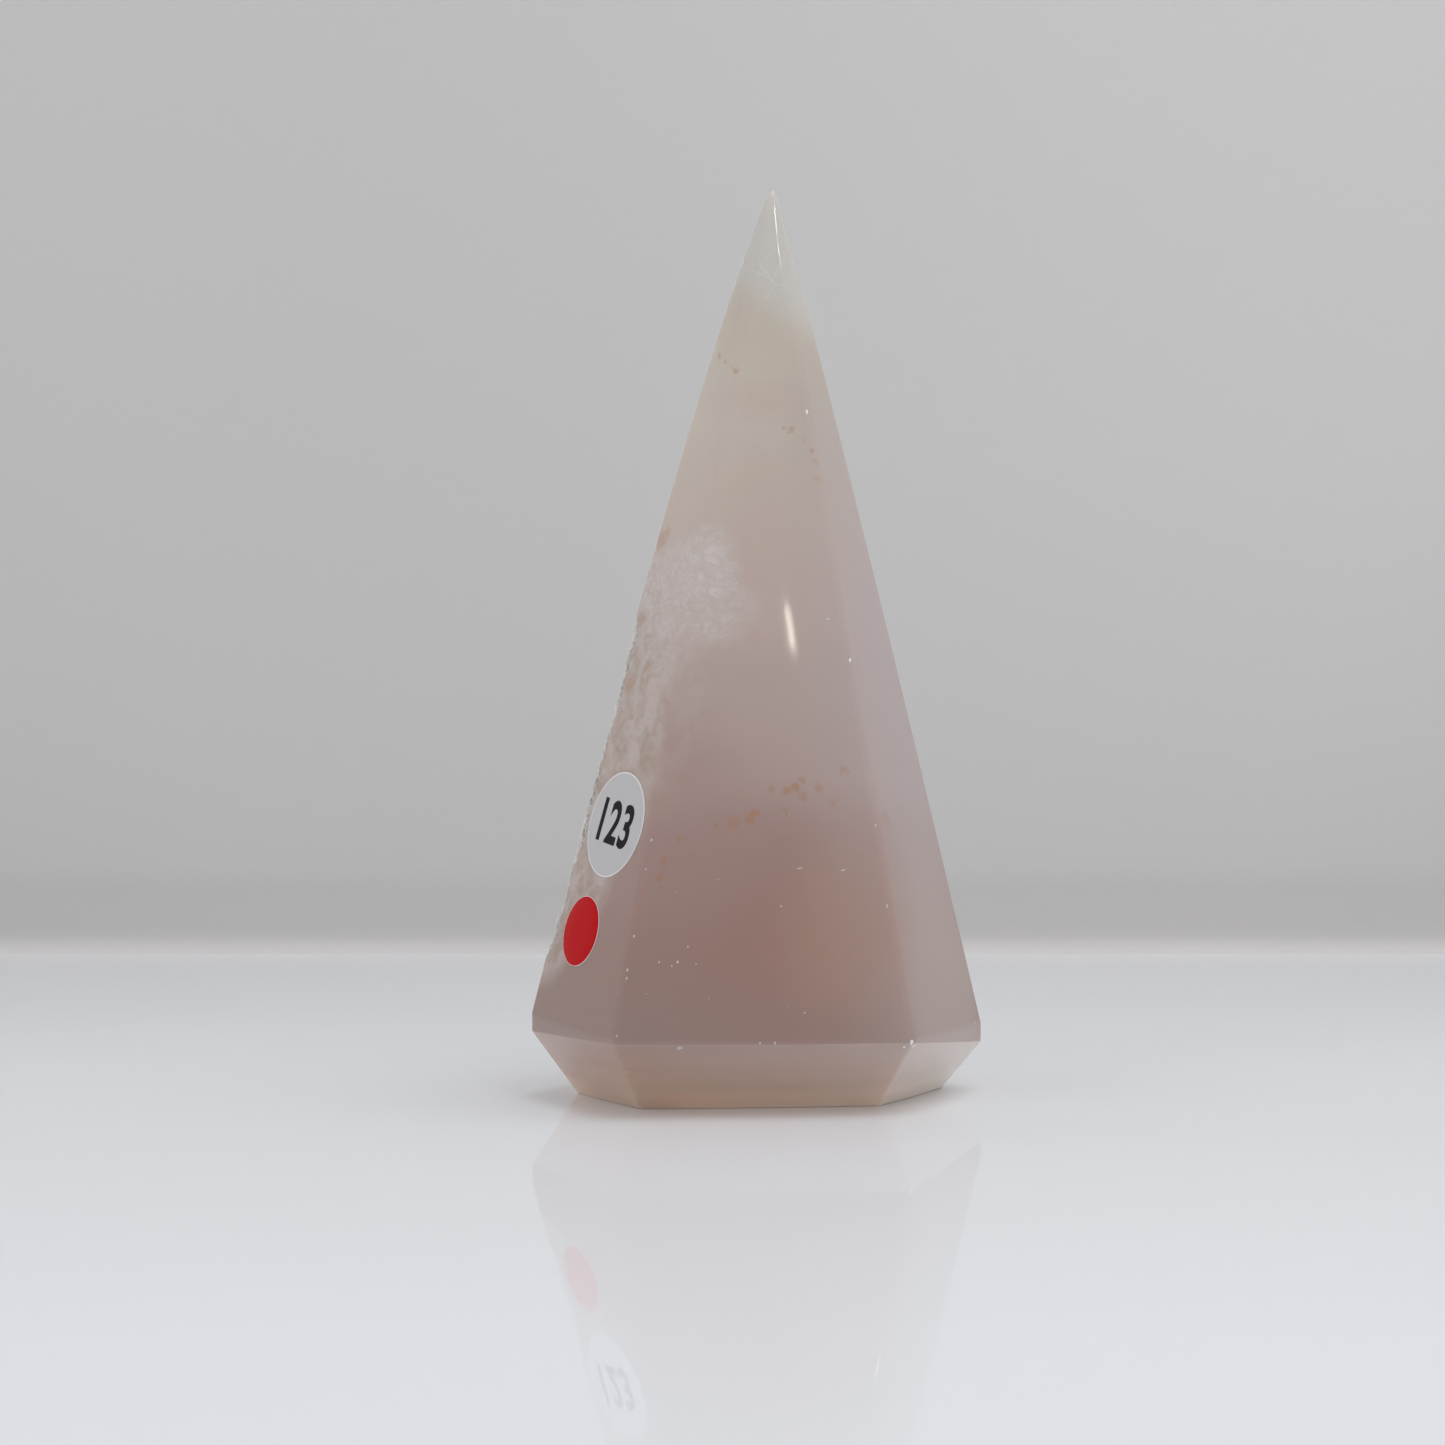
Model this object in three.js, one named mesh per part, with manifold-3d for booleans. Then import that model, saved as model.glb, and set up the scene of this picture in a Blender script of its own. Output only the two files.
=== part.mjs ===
// A polished agate tower: six leaning facets that meet in a point, a bevelled foot cut flat underneath,
// and a druzy hollow in the back left facet, lined with quartz crystals. Two round paper labels lie on the
// left facet. Millimetres, +Z up. The origin is the middle of the tower's footprint, on the surface it
// stands on.
import * as THREE from "three";
import Module from "manifold-3d";
import { mergeVertices } from "three/addons/utils/BufferGeometryUtils.js";

const wasm = await Module();
wasm.setup();

// ---- Driving dimensions ----

// The corners of the girdle, the widest line round the tower, in order round it as seen from above,
// starting at the left. x and y are measured from the upright line under the apex. The ridge above each
// corner first stands upright for the height of its band, then runs in to the apex, and bows outwards the
// further taper is under 1. Softness is how far from the corner its rounding starts. The inset is how far
// in the bevel brings the foot, below the facet from this corner to the next.
const corners = [
  { girdle: [-43.6, -2.0, 12.0], band: 3.4, taper: 0.885, softness: 0.9, inset: 10.1 },
  { girdle: [-27.4, -31.5, 13.3], band: 0.8, taper: 0.93, softness: 1.8, inset: 13.9 },
  { girdle: [24.3, -26.6, 13.0], band: 0.8, taper: 1.0, softness: 1.3, inset: 9.4 },
  { girdle: [38.3, 6.7, 9.0], band: 3.4, taper: 0.953, softness: 0.9, inset: 4.6 },
  { girdle: [21.5, 34.0, 11.0], band: 1.2, taper: 0.94, softness: 1.3, inset: 8.0 },
  { girdle: [-25.0, 31.0, 12.2], band: 1.2, taper: 0.92, softness: 1.3, inset: 4.6 },
];
const leftFacet = 0; // a facet has the number of its first corner
const druzyFacet = 5;

const towerHeight = 162.2;
const tipAllowance = 2.2; // the facets would meet this far above the rounded tip
const tipRounding = 1.5; // height of the rounded cap
const crownShare = 0.014; // how far a facet bulges at its middle, as a share of its width
const crownFlatness = 2.4; // the power that spreads the bulge over the facet
const footSoftness = 0.7; // rounding of the foot's corners, seen from above
const mostSoftness = 0.3; // of any corner, as a share of the facet's width

const druzeBottom = 15.5; // height of the lowest point of the druzy zone
const druzeTop = 90.5;
const druzeCentre = 5.5; // across the facet, from its middle line towards the tower's left edge
const druzeHalfWidth = 17.5; // it runs out past the left edge, so that edge is broken too
const shelfDepth = 1.9; // the zone lies this far below the polished facet, all over
const rimStart = 0.92; // where the wall starts to rise to the outline, as a share of the way to it
const rimRise = 1.2; // how far above the facet the wall has risen at the outline
const bowlDepth = 11.2; // and this much more at the middle of the hollow
const bowlHalfWidth = 11.2;
const bowlHalfHeight = 31;
const bowlCentre = [-0.6, -1.5]; // across and up, from the middle of the zone's height
const bowlFlatness = 0.8; // the power that spreads the depth over the bowl
const outlineWaves = [
  { waves: 3, start: 1, height: 0.035 },
  { waves: 7, start: 0, height: 0.03 },
  { waves: 13, start: 0, height: 0.02 },
]; // the outline's wobble: waves round it, and their height as a share of its reach
const zoneNarrowing = 0.28; // the facet narrows upwards, and the zone with it

// Rounded lumps all over the wall of the hollow, about 8 mm and 3 mm across. Each kind is two waves
// multiplied; a wave has its radians per millimetre across and up, and where it starts.
const lumpKinds = [
  { height: 0.45, waves: [[0.52, 0.21, 0.6], [-0.16, 0.37, 0]] },
  { height: 0.22, waves: [[1.25, -0.55, 2], [0.4, 0.95, 0]] },
];
const lumpsAtRim = 0.4; // height of the lumps at the outline, as a share of their full height

const crustThickness = 1.1; // of the quartz layer under its crystals
const crustGap = 0.3; // between the layer and the agate behind it
const crystalCount = 105;
const crystalRadius = [1.4, 2.7]; // smallest and largest
const radiusAtRim = 0.6; // at the outline, as a share of the radius in the middle
const smallerFrom = 0.6; // where the crystals start to get smaller, as a share of the way to the outline
const crystalSlimness = [1.0, 1.25]; // height of a crystal's point, as a multiple of its radius
const crystalLean = 0.42; // the most that a crystal leans away from upright on the wall, as a slope
const crystalCollar = 0.35; // of the straight sides under its point, as a multiple of its radius
const crystalRoot = 0.9; // how deep it is set in the layer, as a multiple of its radius

const labelThickness = 0.25;
const labelGap = 0.2;
const numberLabel = { name: "number_label", radius: 9.5, across: -2.5, height: 50.2 };
const redLabel = { name: "red_dot_label", radius: 6.35, across: -6.5, height: 31.1 };

// ---- Fineness of the mesh ----

const levelsAlongFacet = 20;
const capLevels = [6, 4, 2.6, 1.5, 0.8, 0.3]; // distances below the tip
const facetSteps = [0.25, 0.5, 0.75]; // between the rounded corners
const rimPoints = 40;
const zoneRings = [1, 0.96, 0.9, 0.78, 0.62, 0.45, 0.25];
const labelRimPoints = 36;
const labelRings = [1, 0.6];

// ---- The polished surface ----

// A repeatable run of numbers from 0 to 1.
function numberRun(seed) {
  let state = seed;
  return () => {
    state = (state * 1664525 + 1013904223) % 4294967296;
    return state / 4294967296;
  };
}

const upright = new THREE.Vector3(0, 0, 1);
const mix = THREE.MathUtils.lerp;
const smooth = (value, from, to) => THREE.MathUtils.smoothstep(value, from, to);
const cornerAfter = (index) => corners[(index + 1) % corners.length];

// How far out the corner's ridge is at a height, as a share of its distance at the girdle.
function narrowing(corner, z) {
  const shoulder = corner.girdle[2] + corner.band;
  const virtualTop = towerHeight + tipAllowance;
  const left = Math.min(1, (virtualTop - z) / (virtualTop - shoulder));
  const belowTip = Math.max(0, towerHeight - z) / tipRounding;
  const cap = belowTip < 1 ? Math.sqrt(1 - (1 - belowTip) ** 2) : 1;
  return left ** corner.taper * cap;
}

// The unrounded corner at a height.
function ridgePoint(corner, z) {
  const share = narrowing(corner, z);
  return new THREE.Vector3(corner.girdle[0] * share, corner.girdle[1] * share, z);
}

// Outward from the facet between two corners, level.
function outwardOf(from, to) {
  return new THREE.Vector3(to.y - from.y, from.x - to.x, 0).normalize();
}

// A point on the polished facet between two corner points; t runs from 0 to 1 across it.
function onFacet(from, to, t) {
  const width = from.distanceTo(to);
  const bulge = crownShare * width * (1 - Math.abs(2 * t - 1) ** crownFlatness);
  return from.clone().lerp(to, t).addScaledVector(outwardOf(from, to), bulge);
}

// One closed line round the tower through the six corner points, with each corner softened.
function sectionLine(points, softness) {
  const line = [];
  points.forEach((corner, i) => {
    const next = (i + 1) % points.length;
    const before = points.at(i - 1);
    const after = points[next];
    const reachIn = Math.min(softness[i] / corner.distanceTo(before), mostSoftness);
    const reachOut = Math.min(softness[i] / corner.distanceTo(after), mostSoftness);
    const nextReach = Math.min(softness[next] / corner.distanceTo(after), mostSoftness);
    const start = onFacet(before, corner, 1 - reachIn);
    const end = onFacet(corner, after, reachOut);
    const middle = start.clone().add(end).multiplyScalar(0.25).addScaledVector(corner, 0.5);
    line.push(start, middle, end);
    facetSteps.forEach((step) => {
      line.push(onFacet(corner, after, mix(reachOut, 1 - nextReach, step)));
    });
  });
  return line;
}

// Joins closed lines of equally many points, from the lowest to the highest, into one closed body.
function loft(lines, lowest, highest) {
  const points = lines.flat();
  const count = lines[0].length;
  const index = [];
  const bottom = points.push(lowest) - 1;
  const top = points.push(highest) - 1;
  const last = (lines.length - 1) * count;
  for (let i = 0; i < count; i++) {
    const next = (i + 1) % count;
    index.push(bottom, next, i, top, last + i, last + next);
    for (let row = 0; row < last; row += count)
      index.push(row + i, row + next, row + count + next, row + i, row + count + next, row + count + i);
  }
  return new THREE.BufferGeometry().setFromPoints(points).setIndex(index);
}

// Where each flat bevel meets the base, as the line n.x * x + n.y * y = reach. The bevel's plane holds the
// edge of the girdle above it.
function footLine(corner, i) {
  const from = new THREE.Vector3(...corner.girdle);
  const to = new THREE.Vector3(...cornerAfter(i).girdle);
  const below = from.clone().lerp(to, 0.5).addScaledVector(outwardOf(from, to), -corner.inset).setZ(0);
  const n = to.clone().sub(from).cross(below.sub(from));
  return { n, reach: n.dot(from) };
}

// The foot's corners, where neighbouring bevels meet at the base.
function footCorners() {
  const bevels = corners.map(footLine);
  return bevels.map((after, i) => {
    const before = bevels.at(i - 1);
    const turn = before.n.x * after.n.y - before.n.y * after.n.x;
    const x = (before.reach * after.n.y - before.n.y * after.reach) / turn;
    const y = (before.n.x * after.reach - before.reach * after.n.x) / turn;
    return new THREE.Vector3(x, y, 0);
  });
}

function towerBody() {
  const softness = corners.map((corner) => corner.softness);
  const lines = [sectionLine(footCorners(), softness.map(() => footSoftness))];
  const lineAt = (heightOf) =>
    lines.push(sectionLine(corners.map((corner) => ridgePoint(corner, heightOf(corner))), softness));
  lineAt((corner) => corner.girdle[2]);
  for (let i = 0; i < levelsAlongFacet; i++) {
    const share = i / levelsAlongFacet;
    lineAt((corner) => mix(corner.girdle[2] + corner.band, towerHeight - capLevels[0], share));
  }
  capLevels.forEach((below) => lineAt(() => towerHeight - below));
  return loft(lines, new THREE.Vector3(0, 0, 0), new THREE.Vector3(0, 0, towerHeight));
}

// ---- The druzy hollow ----

// Axes on the back left facet: across it towards the left edge, up it, and out of it.
const druzeFrame = (() => {
  const from = corners[druzyFacet];
  const to = cornerAfter(druzyFacet);
  const middleAt = (z) => ridgePoint(from, z).lerp(ridgePoint(to, z), 0.5);
  const low = middleAt(druzeBottom);
  const high = middleAt(druzeTop);
  const out = outwardOf(ridgePoint(from, druzeBottom), ridgePoint(to, druzeBottom));
  const across = new THREE.Vector3(-out.y, out.x, 0);
  const up = high.clone().sub(low);
  up.addScaledVector(across, -up.dot(across)).normalize();
  out.crossVectors(across, up).normalize();
  const halfHeight = high.distanceTo(low) / 2;
  const origin = low.lerp(high, 0.5);
  return { across, up, out, origin, halfHeight };
})();

function fromDruzeFrame(across, up, out) {
  return druzeFrame.origin
    .clone()
    .addScaledVector(druzeFrame.across, across)
    .addScaledVector(druzeFrame.up, up)
    .addScaledVector(druzeFrame.out, out);
}

// The zone's outline, with its wobble; share runs from 0 at its middle to 1 at the outline.
function zonePlace(angle, share) {
  const waveAt = ({ waves, start, height }) => height * Math.sin(waves * angle + start);
  const wobble = outlineWaves.reduce((sum, wave) => sum + waveAt(wave), 1);
  const reach = share * wobble;
  const up = reach * Math.sin(angle) * druzeFrame.halfHeight;
  const halfWidth = druzeHalfWidth * (1 - (zoneNarrowing * up) / druzeFrame.halfHeight);
  return [druzeCentre + reach * Math.cos(angle) * halfWidth, up];
}

function lumps(across, up) {
  const waveAt = ([perAcross, perUp, start]) => Math.sin(perAcross * across + perUp * up + start);
  const lumpAt = ({ height, waves }) => height * waveAt(waves[0]) * waveAt(waves[1]);
  return lumpKinds.reduce((sum, kind) => sum + lumpAt(kind), 0);
}

// Depth of the wall below the facet's plane. Past the outline it stands above the plane.
function wallDepth(across, up, share) {
  const p = (across - bowlCentre[0]) / bowlHalfWidth;
  const q = (up - bowlCentre[1]) / bowlHalfHeight;
  const bowl = bowlDepth * Math.max(0, 1 - (p * p + q * q)) ** bowlFlatness;
  const atRim = smooth(share, rimStart, 1);
  return mix(shelfDepth, -rimRise, atRim) + bowl + lumps(across, up) * mix(1, lumpsAtRim, atRim);
}

// A closed body over the zone, between the surfaces whose heights above the wall are given.
function overZone(lower, upper) {
  const linesOf = (rise) =>
    zoneRings.map((share) =>
      Array.from({ length: rimPoints }, (_, i) => {
        const [across, up] = zonePlace((i * 2 * Math.PI) / rimPoints, share);
        return fromDruzeFrame(across, up, rise(wallDepth(across, up, share)));
      }),
    );
  const middle = (rise) => {
    const [across, up] = zonePlace(0, 0);
    return fromDruzeFrame(across, up, rise(wallDepth(across, up, 0)));
  };
  return loft([...linesOf(lower).reverse(), ...linesOf(upper)], middle(lower), middle(upper));
}

// A quartz point: a six-sided prism that ends in a six-sided pyramid.
function crystalPoint(radius, pointHeight) {
  const root = -radius * crystalRoot;
  const collar = radius * crystalCollar;
  const profile = [
    new THREE.Vector2(0, root),
    new THREE.Vector2(radius, root),
    new THREE.Vector2(radius, collar),
    new THREE.Vector2(0, collar + pointHeight),
  ];
  return new THREE.LatheGeometry(profile, 6).rotateX(Math.PI / 2);
}

// ---- Joining and cutting ----

function toSolid(geometry) {
  const bare = geometry.clone();
  bare.deleteAttribute("normal");
  bare.deleteAttribute("uv");
  const merged = mergeVertices(bare, 1e-4);
  const vertProperties = new Float32Array(merged.attributes.position.array);
  const triVerts = new Uint32Array(merged.index.array);
  return new wasm.Manifold(new wasm.Mesh({ numProp: 3, vertProperties, triVerts }));
}

// Without the crumbs that a cut leaves beside it.
function mainBody(solid) {
  const bodies = solid.decompose();
  return bodies.reduce((largest, body) => (body.volume() > largest.volume() ? body : largest));
}

function toGeometry(solid) {
  const { vertProperties, triVerts } = solid.getMesh();
  return new THREE.BufferGeometry()
    .setAttribute("position", new THREE.BufferAttribute(vertProperties, 3))
    .setIndex(new THREE.BufferAttribute(triVerts, 1));
}

// The crystals stand on the wall of the hollow, each turned and leaned a little its own way.
function crystalBed() {
  const random = numberRun(7);
  const between = ([low, high]) => mix(low, high, random());
  const turn = Math.PI * (3 - Math.sqrt(5)); // spreads them evenly over the zone
  let bed = null;
  for (let i = 0; i < crystalCount; i++) {
    const share = Math.sqrt((i + 0.5) / crystalCount);
    const [across, up] = zonePlace(i * turn, share);
    const depthAt = (x, y) => wallDepth(x, y, share);
    const step = 0.5; // to either side, for the slope of the wall
    const slopeAcross = (depthAt(across + step, up) - depthAt(across - step, up)) / (2 * step);
    const slopeUp = (depthAt(across, up + step) - depthAt(across, up - step)) / (2 * step);
    const growth = new THREE.Vector3(slopeAcross, slopeUp, 1).normalize();
    growth.x += crystalLean * (2 * random() - 1);
    growth.y += crystalLean * (2 * random() - 1);
    const direction = new THREE.Vector3()
      .addScaledVector(druzeFrame.across, growth.x)
      .addScaledVector(druzeFrame.up, growth.y)
      .addScaledVector(druzeFrame.out, growth.z)
      .normalize();
    const radius = between(crystalRadius) * mix(1, radiusAtRim, smooth(share, smallerFrom, 1));
    const crystal = crystalPoint(radius, radius * between(crystalSlimness));
    crystal.rotateZ(random() * Math.PI);
    crystal.applyQuaternion(new THREE.Quaternion().setFromUnitVectors(upright, direction));
    const foot = fromDruzeFrame(across, up, crustThickness - depthAt(across, up));
    crystal.translate(foot.x, foot.y, foot.z);
    const solid = toSolid(crystal);
    bed = bed ? bed.add(solid) : solid;
  }
  return bed;
}

// ---- The labels ----

// A thin disc that lies on the left facet and follows its slight curve.
function labelBody({ radius, across, height }) {
  const from = corners[leftFacet];
  const to = cornerAfter(leftFacet);
  const along = ridgePoint(to, height).sub(ridgePoint(from, height)).setZ(0).normalize();
  const surfacePoint = (x, z) => {
    const start = ridgePoint(from, z);
    const end = ridgePoint(to, z);
    const t = (x - start.dot(along)) / end.clone().sub(start).dot(along);
    return onFacet(start, end, t);
  };
  const rise = surfacePoint(across, height + 1).sub(surfacePoint(across, height - 1)).normalize();
  const out = new THREE.Vector3().crossVectors(along, rise).normalize();
  const linesOf = (offset) =>
    labelRings.map((share) =>
      Array.from({ length: labelRimPoints }, (_, i) => {
        const angle = (i * 2 * Math.PI) / labelRimPoints;
        const x = across + radius * share * Math.cos(angle);
        const z = height + radius * share * Math.sin(angle) * rise.z;
        return surfacePoint(x, z).addScaledVector(out, offset);
      }),
    );
  const middle = (offset) => surfacePoint(across, height).addScaledVector(out, offset);
  const outer = labelGap + labelThickness;
  return loft([...linesOf(labelGap).reverse(), ...linesOf(outer)], middle(labelGap), middle(outer));
}

// ---- The pieces ----

const agate = new THREE.MeshStandardMaterial({ color: 0xb09c96, roughness: 0.12, metalness: 0 });
const quartz = new THREE.MeshStandardMaterial({ color: 0xdcd6d0, roughness: 0.18, metalness: 0 });
const whitePaper = new THREE.MeshStandardMaterial({ color: 0xe8e8ea, roughness: 0.55, metalness: 0 });
const redPaper = new THREE.MeshStandardMaterial({ color: 0xc81e28, roughness: 0.5, metalness: 0 });

function named(name, geometry, material) {
  const mesh = new THREE.Mesh(geometry, material);
  mesh.name = name;
  return mesh;
}

const wholeTower = towerBody();
const wholeSolid = toSolid(wholeTower);
const hollowTop = 6; // the cutting body ends this far outside the facet
const hollow = toSolid(overZone((depth) => -depth, () => hollowTop));
const tower = wholeSolid.subtract(hollow);

const layer = toSolid(overZone((depth) => -depth, (depth) => crustThickness - depth));
const crustRoom = hollow.translate(druzeFrame.out.clone().multiplyScalar(crustGap).toArray());
const crust = mainBody(layer.add(crystalBed()).intersect(crustRoom).intersect(wholeSolid));

const part = new THREE.Group();
part.add(
  named("agate_tower", toGeometry(tower), agate),
  named("druzy_crust", toGeometry(crust), quartz),
  named(numberLabel.name, labelBody(numberLabel), whitePaper),
  named(redLabel.name, labelBody(redLabel), redPaper),
);

wholeTower.computeBoundingBox();
const middle = wholeTower.boundingBox.getCenter(new THREE.Vector3());
part.position.set(-middle.x, -middle.y, 0);

export default part;
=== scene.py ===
import math
import bpy
import numpy as np
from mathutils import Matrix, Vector, noise
from mathutils.bvhtree import BVHTree


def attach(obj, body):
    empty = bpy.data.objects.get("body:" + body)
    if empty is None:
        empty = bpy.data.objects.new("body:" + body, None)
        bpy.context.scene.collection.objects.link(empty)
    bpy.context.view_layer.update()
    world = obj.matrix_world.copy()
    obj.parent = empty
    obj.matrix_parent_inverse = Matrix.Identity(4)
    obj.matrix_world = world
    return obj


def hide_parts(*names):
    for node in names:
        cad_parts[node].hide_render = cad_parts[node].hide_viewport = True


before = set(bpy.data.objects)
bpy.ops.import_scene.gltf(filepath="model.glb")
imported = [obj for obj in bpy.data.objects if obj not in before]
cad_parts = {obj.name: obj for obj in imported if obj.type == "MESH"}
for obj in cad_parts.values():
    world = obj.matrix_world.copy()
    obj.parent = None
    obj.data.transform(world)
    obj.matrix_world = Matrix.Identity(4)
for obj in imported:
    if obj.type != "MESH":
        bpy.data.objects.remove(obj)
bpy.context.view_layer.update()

mm = 0.001
tipVertex = max((v.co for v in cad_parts["agate_tower"].data.vertices), key=lambda co: co.z)
tipLine = np.array([tipVertex.x, tipVertex.y, 0]) / mm  # the upright line under the tip, in mm
print("frame loaded, tip at", [round(c / mm, 2) for c in tipVertex])


def smooth(value, start, end):
    t = np.clip((value - start) / (end - start), 0, 1)
    return t * t * (3 - 2 * t)


def unit(v):
    return v / np.linalg.norm(v)


def linkObject(name, data):
    made = bpy.data.objects.new(name, data)
    bpy.context.scene.collection.objects.link(made)
    return made


def makeObject(name, points, faces, material=None, flat=False):
    # points are in mm from the tip's line
    mesh = bpy.data.meshes.new(name)
    mesh.from_pydata(((np.asarray(points) + tipLine) * mm).tolist(), [], faces)
    if not flat:
        mesh.polygons.foreach_set("use_smooth", [True] * len(mesh.polygons))
    if material:
        mesh.materials.append(material)
    mesh.update()
    return linkObject(name, mesh)


def meshPoints(mesh):
    points = np.empty(len(mesh.vertices) * 3)
    mesh.vertices.foreach_get("co", points)
    return points.reshape(-1, 3)


def movePoints(mesh, points):
    # points are in mm from the tip's line
    mesh.vertices.foreach_set("co", ((points + tipLine) * mm).ravel())


def ringFaces(rings, count):
    # quads between closed rings of points, the lowest ring first
    faces = []
    for row in range(rings - 1):
        for i in range(count):
            j = (i + 1) % count
            faces.append((row * count + i, row * count + j, (row + 1) * count + j, (row + 1) * count + i))
    return faces


def closedFaces(rings, count):
    # the same, with a fan over each end; the last two points are the middles of the two ends
    faces = ringFaces(rings, count)
    bottom, last = rings * count, (rings - 1) * count
    for i in range(count):
        j = (i + 1) % count
        faces += [(bottom, j, i), (bottom + 1, last + i, last + j)]
    return faces


def makeShape(name, ring, top, tip):
    # a small shape for the node trees to repeat, in mm from its own root: two rings of points and a tip
    count = len(ring)
    faces = ringFaces(2, count) + [(count + i, count + (i + 1) % count, 2 * count) for i in range(count)]
    faces.append(tuple(range(count - 1, -1, -1)))
    points = ring + top + [tip]
    mesh = bpy.data.meshes.new(name)
    mesh.from_pydata([tuple(c * mm for c in p) for p in points], [], faces)
    return linkObject(name, mesh)


def put(tree, kind, inputs=None, **settings):
    # one node; an input is a value or the socket that feeds it
    node = tree.nodes.new(kind)
    for name, value in settings.items():
        setattr(node, name, value)
    for name, value in (inputs or {}).items():
        if isinstance(value, bpy.types.NodeSocket):
            tree.links.new(value, node.inputs[name])
        else:
            node.inputs[name].default_value = value
    return node


def mixColor(tree, factor, first, second, blend="MIX"):
    mix = put(tree, "ShaderNodeMix", {0: factor, 6: first, 7: second}, data_type="RGBA", blend_type=blend)
    return mix.outputs[2]


def mathNode(tree, operation, first, second):
    return put(tree, "ShaderNodeMath", {0: first, 1: second}, operation=operation).outputs[0]


def times(tree, first, second):
    return mathNode(tree, "MULTIPLY", first, second)


def vectorNode(tree, operation, first, second):
    return put(tree, "ShaderNodeVectorMath", {0: first, 1: second}, operation=operation).outputs[0]


def scaled(tree, vector, amount):
    return put(tree, "ShaderNodeVectorMath", {0: vector, "Scale": amount}, operation="SCALE").outputs[0]


def remap(tree, value, start, end, soft=False, to=(0, 1)):
    # runs between the two results as the value runs from start to end
    return put(tree, "ShaderNodeMapRange", {
        "Value": value, "From Min": start, "From Max": end, "To Min": to[0], "To Max": to[1],
    }, interpolation_type="SMOOTHSTEP" if soft else "LINEAR").outputs[0]


def noiseAt(tree, place, **inputs):
    return put(tree, "ShaderNodeTexNoise", {"Vector": place, **inputs}).outputs


def colorRamp(tree, value, stops, interpolation="LINEAR"):
    # stops are (value from 0 to 1, colour)
    ramp = put(tree, "ShaderNodeValToRGB", {0: value})
    ramp.color_ramp.interpolation = interpolation
    elements = ramp.color_ramp.elements
    for position, color in stops[1:-1]:
        elements.new(position)
    for element, (position, color) in zip(elements, stops):
        element.position, element.color = position, color
    return ramp.outputs[0]


def attribute(tree, name):
    return put(tree, "ShaderNodeAttribute", attribute_name=name).outputs["Fac"]


def newMaterial(name):
    material = bpy.data.materials.new(name)
    material.use_nodes = True
    material.node_tree.nodes.clear()
    return material, material.node_tree


def finishMaterial(tree, surface):
    # the surface is a shader's socket, or the inputs of a Principled BSDF
    if isinstance(surface, dict):
        surface = put(tree, "ShaderNodeBsdfPrincipled", surface).outputs["BSDF"]
    put(tree, "ShaderNodeOutputMaterial", {"Surface": surface})


# camera

camera = {
    "place": (-9.04, -720.18, 103.56),  # mm from the tip's line
    "pitch": -2.856,
    "lens": 99.63,
    "sensor": 36,
}

cameraData = bpy.data.cameras.new("camera")
cameraData.lens = camera["lens"]
cameraData.sensor_width = camera["sensor"]
cameraObject = linkObject("camera", cameraData)
cameraObject.location = Vector((tipLine + camera["place"]) * mm)
cameraObject.rotation_euler = (math.radians(90 + camera["pitch"]), 0, 0)
bpy.context.scene.camera = cameraObject

# floor, backdrop and lights

studio = {
    "wallDistance": 252,  # mm behind the tip's line
    "wallHalfWidth": 620,
    "wallHeight": 900,
    "coveRadius": 14,
    "coveSteps": 13,
    "coveLift": 0.05,  # off the floor
    "floorReach": 5000,
    "floorColor": (0.875, 0.898, 0.924, 1),
    "floorFarShadeColor": (0.845, 0.86, 0.88, 1),  # near the wall: painted shade, the floor darker toward the wall
    "floorFar": (60, 235),  # mm, where it changes from the one to the other
    "floorRoughness": 0.022,
    "floorIor": 1.165,
    "wallPaintedLightRight": (0.635, 0.622, 0.612, 1),  # painted light: its right side is lighter higher up
    "wallChange": (-120, 140),  # mm, where it changes from left to right
    # mm up the sweep and its tone there: from the floor's white to a painted shade band a few mm up, then
    # up to the wall's grey
    "coveTonesWithSeamShade": [(0, 0.735), (1.5, 0.64), (3.5, 0.54), (6, 0.525),
                  (9, 0.54), (13, 0.57), (20, 0.60), (60, 0.602)],
    "coveTint": (1, 0.975, 0.96),
    "wallChangeUp": (10, 120),  # mm up, where the painted light on its right side grows
    "worldColor": (0.93, 0.95, 1.0, 1),
    "worldStrength": 0.40,
}


def objectAxes(tree):
    place = put(tree, "ShaderNodeTexCoord").outputs["Object"]
    return put(tree, "ShaderNodeSeparateXYZ", {0: place}).outputs


floorMaterial, tree = newMaterial("floorWhite")
axes = objectAxes(tree)
# painted shade: the floor darkens toward the wall
away = remap(tree, axes["Y"], *(c * mm for c in studio["floorFar"]))
finishMaterial(tree, {
    "Base Color": mixColor(tree, away, studio["floorColor"], studio["floorFarShadeColor"]),
    "Roughness": studio["floorRoughness"],
    "IOR": studio["floorIor"],
})

wallMaterial, tree = newMaterial("wallGrey")
axes = objectAxes(tree)
across = remap(tree, axes["X"], *(c * mm for c in studio["wallChange"]), soft=True)
topHeight = studio["coveTonesWithSeamShade"][-1][0]
# the sweep's tone by height, with a painted shade band just above the floor
tone = colorRamp(tree, remap(tree, axes["Z"], 0, topHeight * mm), [
    (z / topHeight, [value * c for c in studio["coveTint"]] + [1]) for z, value in studio["coveTonesWithSeamShade"]])
# painted light: the wall's right side lightened, more so higher up
high = remap(tree, axes["Z"], *(c * mm for c in studio["wallChangeUp"]))
color = mixColor(tree, times(tree, across, high), tone, studio["wallPaintedLightRight"])
shader = put(tree, "ShaderNodeBsdfDiffuse", {"Color": color})
clear = put(tree, "ShaderNodeBsdfTransparent")
side = put(tree, "ShaderNodeNewGeometry")
oneSided = put(tree, "ShaderNodeMixShader", {
    0: side.outputs["Backfacing"], 1: shader.outputs[0], 2: clear.outputs[0]})
finishMaterial(tree, oneSided.outputs[0])


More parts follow.
